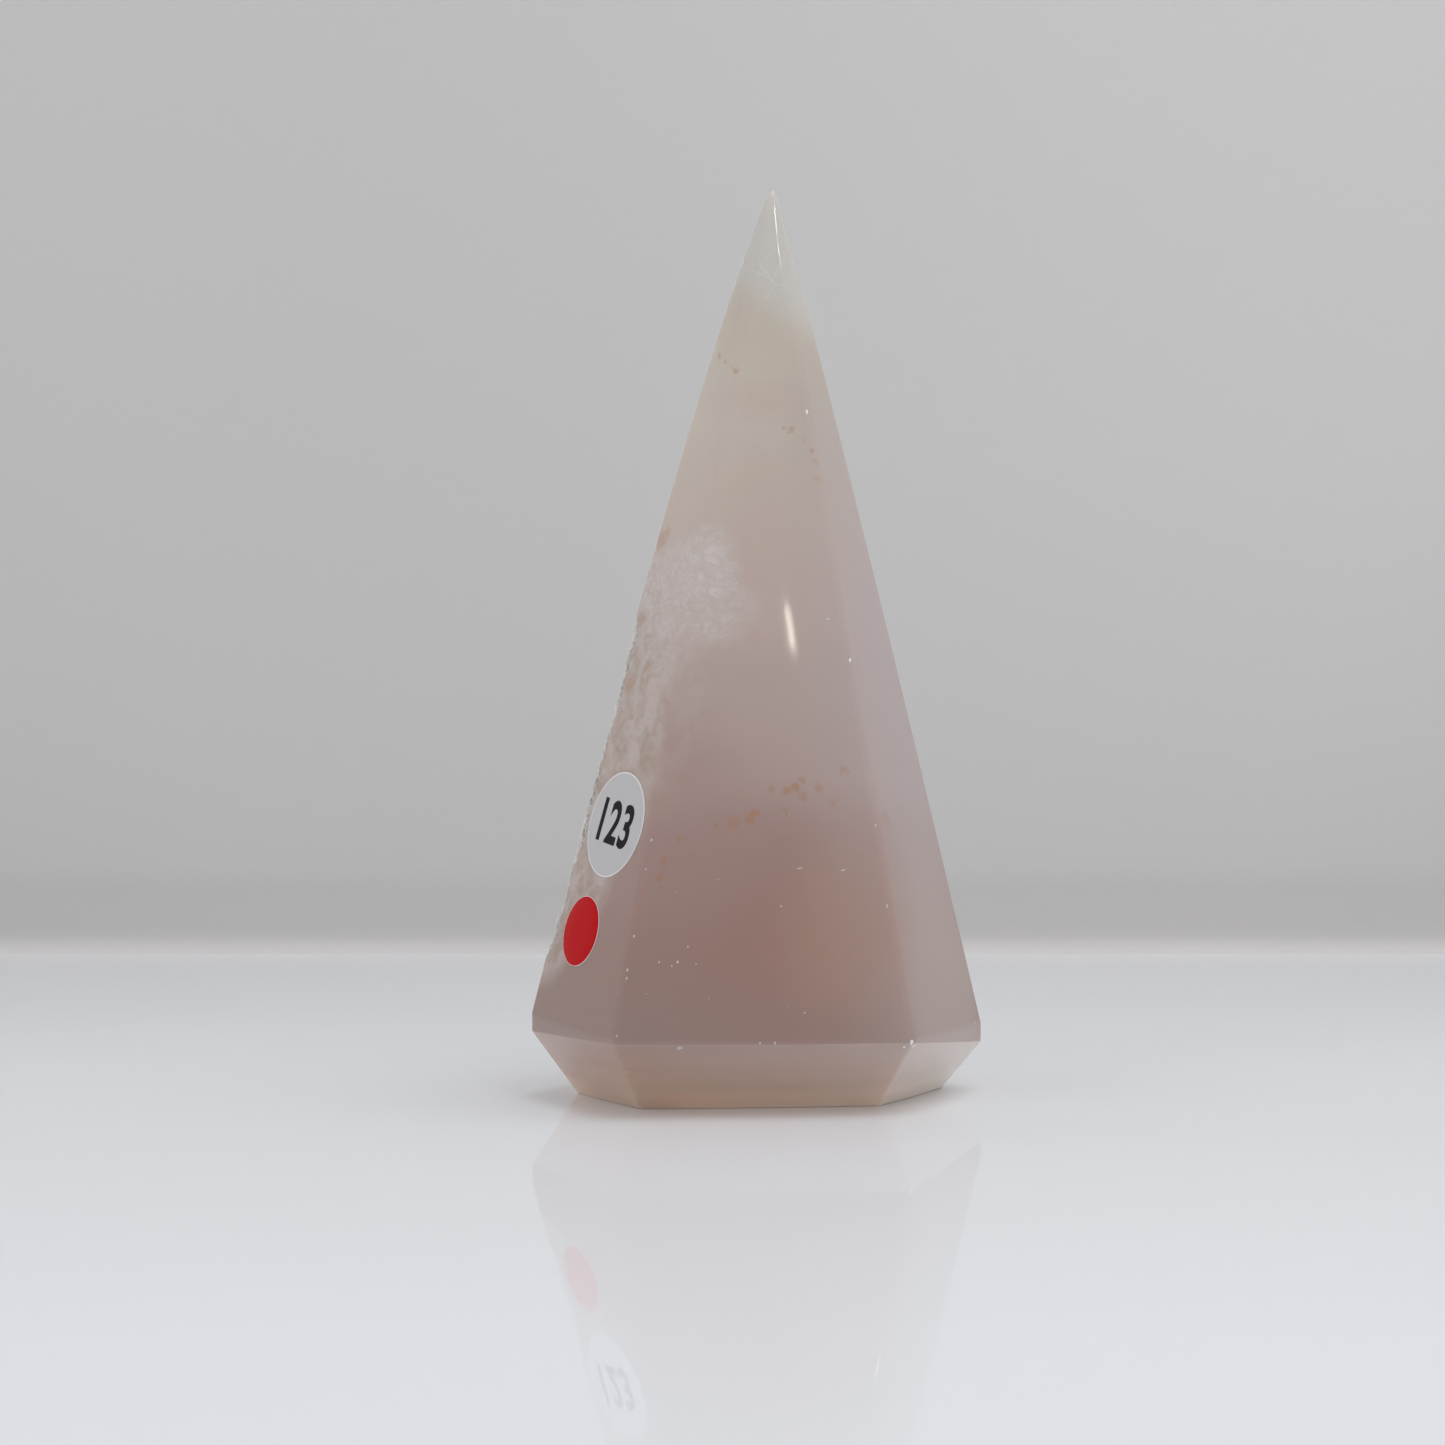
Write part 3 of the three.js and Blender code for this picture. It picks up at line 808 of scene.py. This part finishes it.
smear = noiseAt(tree, place, **agate["smear"])[0]
finishMaterial(tree, {
    "Base Color": color,
    "Roughness": remap(tree, smear, 0, 1, to=agate["roughness"]),
    "IOR": quartzIor,
    **agate["depth"],
})


def columnValues(pairs):
    # a value for each column of the rings, running from one end of each facet to its other
    runs = [np.linspace(start, end, tower["cornerSteps"] + steps)
            for (start, end), steps in zip(pairs, tower["facetSteps"])]
    return np.roll(np.concatenate(runs), (tower["cornerSteps"] + 1) // 2)


def vertexShade(onRings, onColumns):
    # a value for each ring times a value for each column, with the two end points added
    return np.append(np.outer(onRings, onColumns).ravel(), [0, 0])


def addShade(made, name, values):
    # a number or a vector for each point
    values = np.array(values, dtype=np.float32)
    kind, field = ("FLOAT", "value") if values.ndim == 1 else ("FLOAT_VECTOR", "vector")
    made.data.attributes.new(name, kind, "POINT").data.foreach_set(field, values.ravel())


towerObject = makeObject("agateTower", cutHollow(polished), towerFaces, agateMaterial)
local, share = hollowPlaces(polished)
nearFacet = smooth(local[:, 2], *hollow["ownSide"])
rise = smooth(polished[:, 2], *agate["haloRise"])
haloStart, haloEnd = (low + (high - low) * rise
                      for low, high in zip(agate["haloReachLow"], agate["haloReachHigh"]))
addShade(towerObject, "quartzHalo", (1 - smooth(share, haloStart, haloEnd)) * nearFacet)
onBevel = np.clip(girdleRing + 0.5 - np.arange(ringCount), 0, 1)
addShade(towerObject, "bevel", vertexShade(onBevel, np.ones(columnCount)))
addShade(towerObject, "bevelPaleness", vertexShade(onBevel, columnValues(agate["bevelPaleness"])))
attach(towerObject, "root")
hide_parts("agate_tower")
print("agate tower built")

# the crystals that line the hollow


def underPolish(points, clearance):
    # points that stand out of the polished form are ground down to it, less the clearance
    local = toHollow(points)
    tops = local.copy()
    tops[:, 2] = crust["rayStart"]
    inward = Vector(-hollowAxes[2])
    ground = points.copy()
    for i, top in enumerate(fromHollow(tops)):
        hit = envelope.ray_cast(Vector(top), inward)[0]
        if hit:
            surface = toHollow(np.array([hit]))[0, 2]
            local[i, 2] = min(local[i, 2], surface - clearance[i])
            ground[i] = fromHollow(local[i:i + 1])[0]
        else:
            nearest, normal = envelope.find_nearest(Vector(points[i]))[:2]
            ground[i] = nearest - normal * clearance[i]
    return ground


def patchDepths(points):
    # how far the crystals are broken back at each point, in mm
    depths = [abs(noise.cell(Vector(point / crust["patchSize"]))) for point in points]
    return np.array(depths) * crust["patchDepth"]


def bedLines(rise, shares, count):
    lines = []
    for share in shares:
        angles = np.arange(count) * 2 * math.pi / count
        across, up = zonePlace(angles, share)
        lines.append(fromHollow(np.column_stack([across, up, rise - wallDepth(across, up, share)])))
    return lines


crust = {
    "bedThickness": 0.9,
    "bedSunk": 0.15,  # into the agate behind it
    "bedSteps": 132,
    "bedShares": [1, 0.985, 0.965, 0.94, 0.9, 0.85, 0.8, 0.74, 0.68,
                  0.61, 0.54, 0.46, 0.38, 0.29, 0.2, 0.1],
    # spacing in mm, smallest and largest radius in mm, lean, height, seed
    "points": {"Spacing": 2.3, "Smallest": 1.0, "Largest": 2.5, "Lean": 0.45, "Height": 1.15, "Seed": 7},
    "grains": {"Spacing": 0.85, "Smallest": 0.45, "Largest": 0.95, "Lean": 0.5, "Height": 1.05, "Seed": 21},
    "densityMost": 3e6,
    "rimStart": 0.72,  # shares of the hollow's size, where the crystals begin and end to change
    "rimEnd": 0.97,
    "rimGrowth": 1.4,  # crystals at the rim are this much taller, and are ground flush
    "rimSize": 0.55,  # and this much as wide
    "rayStart": 40,  # mm out of the hollow's plane, clear of the tower
    "bedClearance": 0.12,  # mm that the bed and the crystals keep under the polish
    "clearance": 0.02,
    "groundBy": 0.22,  # and the most that a flush crystal lies under it beyond that
    "groundSeed": 5,
    "patchSize": 5.5,  # mm; the crystals are broken back patch by patch
    "patchDepth": 0.75,
    "clear": (226, 217, 209),
    "milky": (208, 193, 183),
    "rust": (188, 150, 124),
    "stain": {"Patch Scale": 0.11, "Spread": 0.2},
    "stainStrength": 0.75,
    "fineGrains": {"Grain Scale": 0.9, "Line Width": 0.12},
    "bump": {"Strength": 0.25, "Distance": 0.0002},
    "roughness": 0.12,
    "depth": {"Subsurface Weight": 0.8, "Subsurface Radius": (1.0, 0.9, 0.85), "Subsurface Scale": 0.002},
}

quartzMaterial, tree = newMaterial("quartz")
place = placeInMm(tree)
color = mixColor(tree, attribute(tree, "tone"), stoneColor(crust["milky"]), stoneColor(crust["clear"]))
stain = placeGroup(tree, ironStain, {"Place": place, **crust["stain"]})["Mask"]
grain = placeGroup(tree, grains, {"Place": place, **crust["fineGrains"]})["Line"]
finishMaterial(tree, {
    "Base Color": tintBy(tree, color, stain, crust["stainStrength"], crust["rust"]),
    "Roughness": crust["roughness"],
    "IOR": quartzIor,
    **crust["depth"],
    "Normal": put(tree, "ShaderNodeBump", {"Height": grain, **crust["bump"]}).outputs["Normal"],
})


def crystalShape():
    # one quartz point, a radius of 1 wide: a six-sided prism that ends in six slanting faces
    ring = [(math.cos(a), math.sin(a)) for a in np.arange(6) * math.pi / 3]
    shoulder = [(x, y, 0.42 if i % 2 else 0.2) for i, (x, y) in enumerate(ring)]
    return makeShape("crystalShape", [(x, y, -1.1) for x, y in ring], shoulder, (0.06, -0.04, 1.3))


def spunShapes(tree, shape, seed, inputs, low, high):
    # the shape at each point, spun about its own axis by an angle between low and high
    crystal = put(tree, "GeometryNodeObjectInfo", {"Object": shape}).outputs["Geometry"]
    placed = put(tree, "GeometryNodeInstanceOnPoints", {"Instance": crystal, **inputs})
    spinAxis = put(tree, "ShaderNodeCombineXYZ", {2: randomNumber(tree, seed, low, high)})
    return put(tree, "GeometryNodeRotateInstances", {
        "Instances": placed.outputs[0], "Rotation": spinAxis.outputs[0], "Local Space": True}).outputs[0]


def finishGrowth(tree, instances, material, result):
    real = put(tree, "GeometryNodeRealizeInstances", {"Geometry": instances})
    finished = put(tree, "GeometryNodeSetMaterial", {"Geometry": real.outputs[0], "Material": material})
    tree.links.new(finished.outputs[0], result[0])
    return tree


def randomNumber(tree, seed, low, high):
    return put(tree, "FunctionNodeRandomValue", {2: low, 3: high, "Seed": seed}).outputs[1]


def named(tree, name, kind="FLOAT"):
    return put(tree, "GeometryNodeInputNamedAttribute", {"Name": name}, data_type=kind).outputs[0]


def makeGrowthTree(shape, material):
    sizes = [(name, "Float") for name in ("Spacing", "Smallest", "Largest", "Lean", "Height")]
    tree, given, result = newGroup("growCrystals", [
        ("Bed", "Geometry"), *sizes, ("Seed", "Int")], [("Crystals", "Geometry")], "GeometryNodeTree")
    spread = put(tree, "GeometryNodeDistributePointsOnFaces", {
        "Mesh": given["Bed"], "Distance Min": times(tree, given["Spacing"], mm),
        "Density Max": crust["densityMost"], "Seed": given["Seed"],
    }, distribute_method="POISSON").outputs
    tilt = put(tree, "FunctionNodeRandomValue", {0: (-1, -1, -1), 1: (1, 1, 1), "Seed": given["Seed"]},
               data_type="FLOAT_VECTOR")
    tilt = scaled(tree, tilt.outputs[0], given["Lean"])
    growth = vectorNode(tree, "ADD", spread["Normal"], tilt)
    upright = put(tree, "FunctionNodeAlignRotationToVector", {"Vector": growth}, axis="Z")
    seed = mathNode(tree, "ADD", given["Seed"], 1.0)
    size = randomNumber(tree, seed, given["Smallest"], given["Largest"])
    width = times(tree, size, named(tree, "bedSize"))
    tall = times(tree, times(tree, size, given["Height"]), named(tree, "bedGrowth"))
    scale = put(tree, "ShaderNodeCombineXYZ", {0: width, 1: width, 2: tall})
    turned = spunShapes(tree, shape, given["Seed"], {
        "Points": spread["Points"], "Rotation": upright.outputs[0], "Scale": scale.outputs[0],
    }, 0.0, math.pi)
    marked = put(tree, "GeometryNodeStoreNamedAttribute", {
        "Geometry": turned, "Name": "tone", "Value": randomNumber(tree, seed, 0.0, 1.0),
    }, data_type="FLOAT", domain="INSTANCE")
    return finishGrowth(tree, marked.outputs[0], material, result)


def grownMesh(source, tree, values):
    # the mesh that the tree makes on the source; values are by the name of the tree's input
    modifier = source.modifiers.new("grow", "NODES")
    modifier.node_group = tree
    for item in tree.interface.items_tree:
        if item.in_out == "INPUT" and item.name in values:
            modifier[item.identifier] = values[item.name]
    evaluated = source.evaluated_get(bpy.context.evaluated_depsgraph_get())
    mesh = bpy.data.meshes.new_from_object(evaluated)
    source.modifiers.remove(modifier)
    return mesh


def buildCrust():
    shares, count = crust["bedShares"], crust["bedSteps"]
    upper = bedLines(crust["bedThickness"], shares, count)
    lower = bedLines(-crust["bedSunk"], shares, count)
    centres = [fromHollow([[hollow["centre"], 0, rise - wallDepth(hollow["centre"], 0, 0)]])
               for rise in (-crust["bedSunk"], crust["bedThickness"])]
    points = np.vstack(lower[::-1] + upper + centres)
    points = underPolish(points, crust["bedClearance"] + patchDepths(points))
    faces = closedFaces(2 * len(shares), count)
    bed = makeObject("druzyBed", points, faces, quartzMaterial)

    first = len(shares) * count
    topFaces = [tuple(k - first for k in face) for face in faces if min(face) >= first]
    surface = makeObject("bedSurface", points[first:], topFaces)
    atRim = smooth(hollowPlaces(points[first:])[1], crust["rimStart"], crust["rimEnd"])
    addShade(surface, "bedSize", 1 + (crust["rimSize"] - 1) * atRim)
    addShade(surface, "bedGrowth", 1 + crust["rimGrowth"] * atRim)
    shape = crystalShape()
    tree = makeGrowthTree(shape, quartzMaterial)
    random = np.random.default_rng(crust["groundSeed"])
    pieces = [bed]
    for name, values in (("druzyPoints", crust["points"]), ("druzyGrains", crust["grains"])):
        mesh = grownMesh(surface, tree, values)
        mesh.name = name
        crystals = len(mesh.vertices) // len(shape.data.vertices)
        points = meshPoints(mesh) / mm - tipLine
        centres = points.reshape(crystals, -1, 3).mean(axis=1)
        ground = crust["groundBy"] * random.random(crystals) ** 2
        clearance = crust["clearance"] + ground + patchDepths(centres)
        movePoints(mesh, underPolish(points, np.repeat(clearance, len(shape.data.vertices))))
        mesh.polygons.foreach_set("use_smooth", [False] * len(mesh.polygons))
        mesh.update()
        pieces.append(linkObject(name, mesh))
        print(name + ":", crystals, "crystals")
    bpy.data.objects.remove(surface)
    bpy.data.objects.remove(shape)
    for piece in pieces:
        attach(piece, "root")
        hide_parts("druzy_crust")


buildCrust()

# the two paper labels

labels = {
    # the printed face stops short of the cut edge by the inset
    "number": {"radius": 9.5, "across": -2.5, "height": 50.2, "inset": 0.22},
    "redDot": {"radius": 6.35, "across": -6.5, "height": 31.1, "inset": 0.08},
    "levels": (50.0, 48.0),  # mm up, where the facet's slope is taken
    "paperThickness": 0.11,
    "paperSunk": 0.02,  # into the polish
    "faceSunk": 0.04,  # the printed face, into the paper
    "faceProud": 0.012,
    "inkProud": 0.03,  # all above the paper's top
    "rimSteps": 96,
    "rimSoftness": 0.01,  # the cut edge's upper corner, down and in
    "rimShare": 0.996,
    "digits": "123",
    "digitHeight": 8.0,
    "digitSpacing": 1.07,
    "digitBoldness": 0.027,
    "digitExtrude": 0.001,
    "digitWidth": 0.8,  # as a share of the letter's own width
    "digitTurn": -6.5,  # degrees
    "digitPlace": (0.2, 0.2),
    # colour, roughness
    "paper": ((0.80, 0.79, 0.80, 1), 0.6),
    "white": ((0.535, 0.522, 0.528, 1), 0.45),
    "red": ((0.50, 0.005, 0.008, 1), 0.4),
    "ink": ((0.012, 0.012, 0.014, 1), 0.35),
    "fibres": {"Scale": 6.0, "Detail": 4.0},
    "fibreShade": 0.8,
    "fibreStrength": 0.08,
    "specular": 0.08,
    "bump": {"Strength": 0.15, "Distance": 0.00002},
}


def labelPoint(across, height, offset):
    # on the left facet, at a distance along it from the tip's line, a height, and an offset out of it
    start, end = ridgePoints(np.full(6, height))[:2]
    along = unit(end - start)
    t = (across - start @ along) / ((end - start) @ along)
    return onFacet(start, end, t)[0] + leftOut * offset


ridges = [ridgePoints(np.full(6, z)) for z in labels["levels"]]
leftAlong = unit(ridges[0][1] - ridges[0][0])
leftRise = unit(ridges[0][:2].mean(axis=0) - ridges[1][:2].mean(axis=0))
leftRise = unit(leftRise - leftAlong * (leftRise @ leftAlong))
leftOut = np.cross(leftAlong, leftRise)


def onLabel(label, u, v, offset):
    return labelPoint(label["across"] + u, label["height"] + v * leftRise[2], offset)


def buildDisc(name, label, radius, low, high, material):
    count = labels["rimSteps"]
    softened = high - labels["rimSoftness"]
    outline = [(low, 0.5), (low, 1.0), (softened, 1.0), (high, labels["rimShare"]), (high, 0.5)]
    points = [onLabel(label, radius * share * math.cos(a), radius * share * math.sin(a), offset)
              for offset, share in outline for a in np.arange(count) * 2 * math.pi / count]
    points += [onLabel(label, 0, 0, low), onLabel(label, 0, 0, high)]
    return makeObject(name, points, closedFaces(len(outline), count), material)


def paperMaterial(name, color, roughness):
    material, tree = newMaterial(name)
    fibres = noiseAt(tree, placeInMm(tree), **labels["fibres"])[0]
    darker = tuple(c * labels["fibreShade"] for c in color[:3]) + (1,)
    finishMaterial(tree, {
        "Base Color": mixColor(tree, times(tree, fibres, labels["fibreStrength"]), color, darker),
        "Roughness": roughness,
        "Specular IOR Level": labels["specular"],
        "Normal": put(tree, "ShaderNodeBump", {"Height": fibres, **labels["bump"]}).outputs["Normal"],
    })
    return material


def buildDigits(label, material):
    curve = bpy.data.curves.new("digits", "FONT")
    curve.body = labels["digits"]
    curve.align_x, curve.align_y = "CENTER", "CENTER"
    curve.space_character = labels["digitSpacing"]
    curve.offset, curve.extrude = labels["digitBoldness"], labels["digitExtrude"]
    source = linkObject("digitsSource", curve)
    mesh = bpy.data.meshes.new_from_object(source.evaluated_get(bpy.context.evaluated_depsgraph_get()))
    bpy.data.objects.remove(source)
    points = meshPoints(mesh)
    low, high = points.min(axis=0), points.max(axis=0)
    scale = labels["digitHeight"] / (high[1] - low[1])
    flat = (points - (low + high) / 2)[:, :2] * scale * (labels["digitWidth"], 1)
    turn = math.radians(labels["digitTurn"])
    u = flat[:, 0] * math.cos(turn) - flat[:, 1] * math.sin(turn) + labels["digitPlace"][0]
    v = flat[:, 0] * math.sin(turn) + flat[:, 1] * math.cos(turn) + labels["digitPlace"][1]
    top = labels["paperThickness"]
    offsets = np.where(points[:, 2] > 0, top + labels["inkProud"], top)
    movePoints(mesh, np.array([onLabel(label, *p) for p in zip(u, v, offsets)]))
    mesh.materials.clear()
    mesh.materials.append(material)
    mesh.name = "labelDigits"
    return linkObject("labelDigits", mesh)


paper = paperMaterial("paperEdge", *labels["paper"])
whiteFace = paperMaterial("paperWhite", *labels["white"])
redFace = paperMaterial("paperRed", *labels["red"])
inkMaterial = paperMaterial("ink", *labels["ink"])
for node, slot, label, face in (
    ("number_label", "white_paper", labels["number"], whiteFace),
    ("red_dot_label", "red_paper", labels["redDot"], redFace),
):
    top, faceRadius = labels["paperThickness"], label["radius"] - label["inset"]
    low, high = top - labels["faceSunk"], top + labels["faceProud"]
    pieces = [
        buildDisc(node + "Paper", label, label["radius"], -labels["paperSunk"], top, paper),
        buildDisc(node + "Face", label, faceRadius, low, high, face),
    ]
    if node == "number_label":
        pieces.append(buildDigits(label, inkMaterial))
    for piece in pieces:
        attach(piece, "root")
        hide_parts(node)
print("labels placed")

# small chips, pits and scratches in the polish

chips = {
    # x, y, z in mm, size in mm, how drawn out they are along the facet's level line
    "marks": [
        (8.6, -8.6, 123.3, 0.5, 0.7), (16.1, -16.1, 79.4, 0.45, 0.7), (26.6, -27.7, 13.1, 0.5, 1),
        (27, -26.6, 12.3, 0.45, 1), (25.3, -27.3, 12.2, 0.3, 1), (-18.8, -25.6, 48.3, 0.32, 1),
        (-19.7, -26.5, 43.3, 0.22, 1), (-22.9, -29.8, 26, 0.32, 1), (-23, -30.1, 24.6, 0.28, 1),
        (-14.2, -29.8, 27.4, 0.3, 1), (-12.4, -29.2, 30, 0.2, 1), (-17.4, -30, 27.4, 0.22, 1),
        (22.4, -24, 36.6, 0.4, 0.6), (-19.4, -15.3, 69.7, 0.25, 1), (-12.7, -7.3, 108.2, 0.2, 1),
        (-4, -16.5, 93, 0.25, 2), (-11.8, -17.3, 89.1, 0.32, 0.6), (7.1, -24.8, 43.3, 0.13, 6),
        (14.7, -23.9, 42.9, 0.12, 6), (12.2, -15.5, 86.6, 0.25, 2), (15.4, -14.8, 85.6, 0.2, 1),
        (7.9, -29.5, 18.5, 0.2, 1), (39.5, 1.6, 13, 0.25, 1), (-13.8, -31.6, 12.6, 0.5, 1.6),
        (0.1, -31.1, 13.4, 0.25, 1), (2.7, -30.9, 13.4, 0.28, 1), (-23.1, -26.4, 7.7, 0.3, 1),
        (3.8, -26.4, 36.8, 0.22, 1), (20.5, -21.4, 50.6, 0.25, 1), (-31.2, -8.8, 41.4, 0.25, 1),
        (-21.8, -28.8, 31.8, 0.3, 1), (-24.7, -32.1, 14.8, 0.25, 1), (14.6, -5.7, 107.7, 0.2, 1),
        (-15.2, -30, 26.7, 0.2, 1), (-11, -29.6, 27, 0.18, 1), (-0.2, -4.5, 150.1, 0.3, 0.6),
    ],
    "scattered": 130,  # smaller ones all over
    "scatteredSize": (0.05, 0.13),
    "scatteredStretch": (0.6, 1.8),
    "hollowShare": 1.1,  # none lie nearer to the hollow than this share of its size
    "standProud": 0.02,
    "paintedGlintMarks": 5,  # the first ones get the most painted glint: a white that stands in for the light they catch
    # how far the other marks and the scattered chips are lightened toward white by painted glint, over
    # their own dull fracture colour
    "markGlint": 0.36,
    "scatteredGlint": 0.3,
    # the painted glint's white, then the chips' own dull colour
    "paintedGlintWhite": (0.90, 0.89, 0.88, 1),
    "dull": (0.42, 0.37, 0.35, 1),
    "frost": {"Scale": 9.0, "Detail": 2.0},
    "frostEdges": (0.3, 0.7),
    "frostTones": (0.8, 1),
    "roughness": 0.25,
    "spin": 0.35,  # each way, in radians
    "shapeSeed": 11,
    "scatterSeed": 3,
    "spinSeed": 4,
}

chipMaterial, tree = newMaterial("chip")
frost = noiseAt(tree, placeInMm(tree), **chips["frost"])[0]
shade = remap(tree, frost, *chips["frostEdges"], to=chips["frostTones"])
# painted glint: each chip's colour runs from its own dull tone toward white
paintedGlint = times(tree, attribute(tree, "paintedGlint"), shade)
finishMaterial(tree, {
    "Base Color": mixColor(tree, paintedGlint, chips["dull"], chips["paintedGlintWhite"]),
    "Roughness": chips["roughness"],
    "IOR": quartzIor,
})


def chipShape():
    # a low flake, a radius of 1 wide, with a lifted lip
    random = np.random.default_rng(chips["shapeSeed"])
    angles, reaches = np.arange(7) * math.tau / 7, 0.7 + 0.5 * random.random(7)
    ring = [(math.cos(a) * r, math.sin(a) * r) for a, r in zip(angles, reaches)]
    lip = [(x * 0.9, y * 0.9, 0.02) for x, y in ring]
    return makeShape("chipShape", [(x, y, -0.3) for x, y in ring], lip, (0.25, 0.1, 0.16))


def makeChipTree(shape, material):
    # one chip at each point, laid on the surface by the point's "out" and "size"
    tree, given, result = newGroup("layChips", [
        ("Points", "Geometry"), ("Seed", "Int")], [("Chips", "Geometry")], "GeometryNodeTree")
    out = named(tree, "out", "FLOAT_VECTOR")
    level = vectorNode(tree, "CROSS_PRODUCT", (0, 0, 1), out)
    laid = put(tree, "FunctionNodeAlignRotationToVector", {"Vector": out}, axis="Z")
    turned = put(tree, "FunctionNodeAlignRotationToVector", {"Rotation": laid.outputs[0], "Vector": level},
                 axis="X", pivot_axis="Z")
    size = named(tree, "size", "FLOAT_VECTOR")
    spun = spunShapes(tree, shape, given["Seed"], {
        "Points": given["Points"], "Rotation": turned.outputs[0], "Scale": size,
    }, -chips["spin"], chips["spin"])
    return finishGrowth(tree, spun, material, result)


def buildChips():
    random = np.random.default_rng(chips["scatterSeed"])
    points = [np.array(mark[:3]) - tipLine for mark in chips["marks"]]
    sizes = [(size * stretch, size, size) for x, y, z, size, stretch in chips["marks"]]
    faceCentres = np.array([polished[list(face)].mean(axis=0) for face in towerFaces])
    faceAreas = np.array([polygon.area for polygon in towerObject.data.polygons])
    chosen = random.choice(len(towerFaces), chips["scattered"], p=faceAreas / faceAreas.sum())
    local, share = hollowPlaces(faceCentres[chosen])
    offHollow = (share > chips["hollowShare"]) | (local[:, 2] < hollow["ownSide"][0])
    for centre, kept in zip(faceCentres[chosen], offHollow):
        if kept and centre[2] > 1:
            size = random.uniform(*chips["scatteredSize"])
            points.append(centre)
            sizes.append((size * random.uniform(*chips["scatteredStretch"]), size, size))
    nearest = [envelope.find_nearest(Vector(point))[:2] for point in points]
    placed = [np.array(place) + np.array(out) * chips["standProud"] for place, out in nearest]
    source = makeObject("chipPoints", placed, [])
    # painted glint for each chip, strongest on the first marks
    paintedGlints = np.full(len(placed), float(chips["scatteredGlint"]))
    paintedGlints[:len(chips["marks"])] = chips["markGlint"]
    paintedGlints[:chips["paintedGlintMarks"]] = 1
    addShade(source, "paintedGlint", paintedGlints)
    addShade(source, "out", [out for place, out in nearest])
    addShade(source, "size", sizes)
    shape = chipShape()
    mesh = grownMesh(source, makeChipTree(shape, chipMaterial), {"Seed": chips["spinSeed"]})
    mesh.name = "chips"
    bpy.data.objects.remove(source)
    bpy.data.objects.remove(shape)
    made = linkObject("chips", mesh)
    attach(made, "root")
    print("chips:", len(placed))


buildChips()
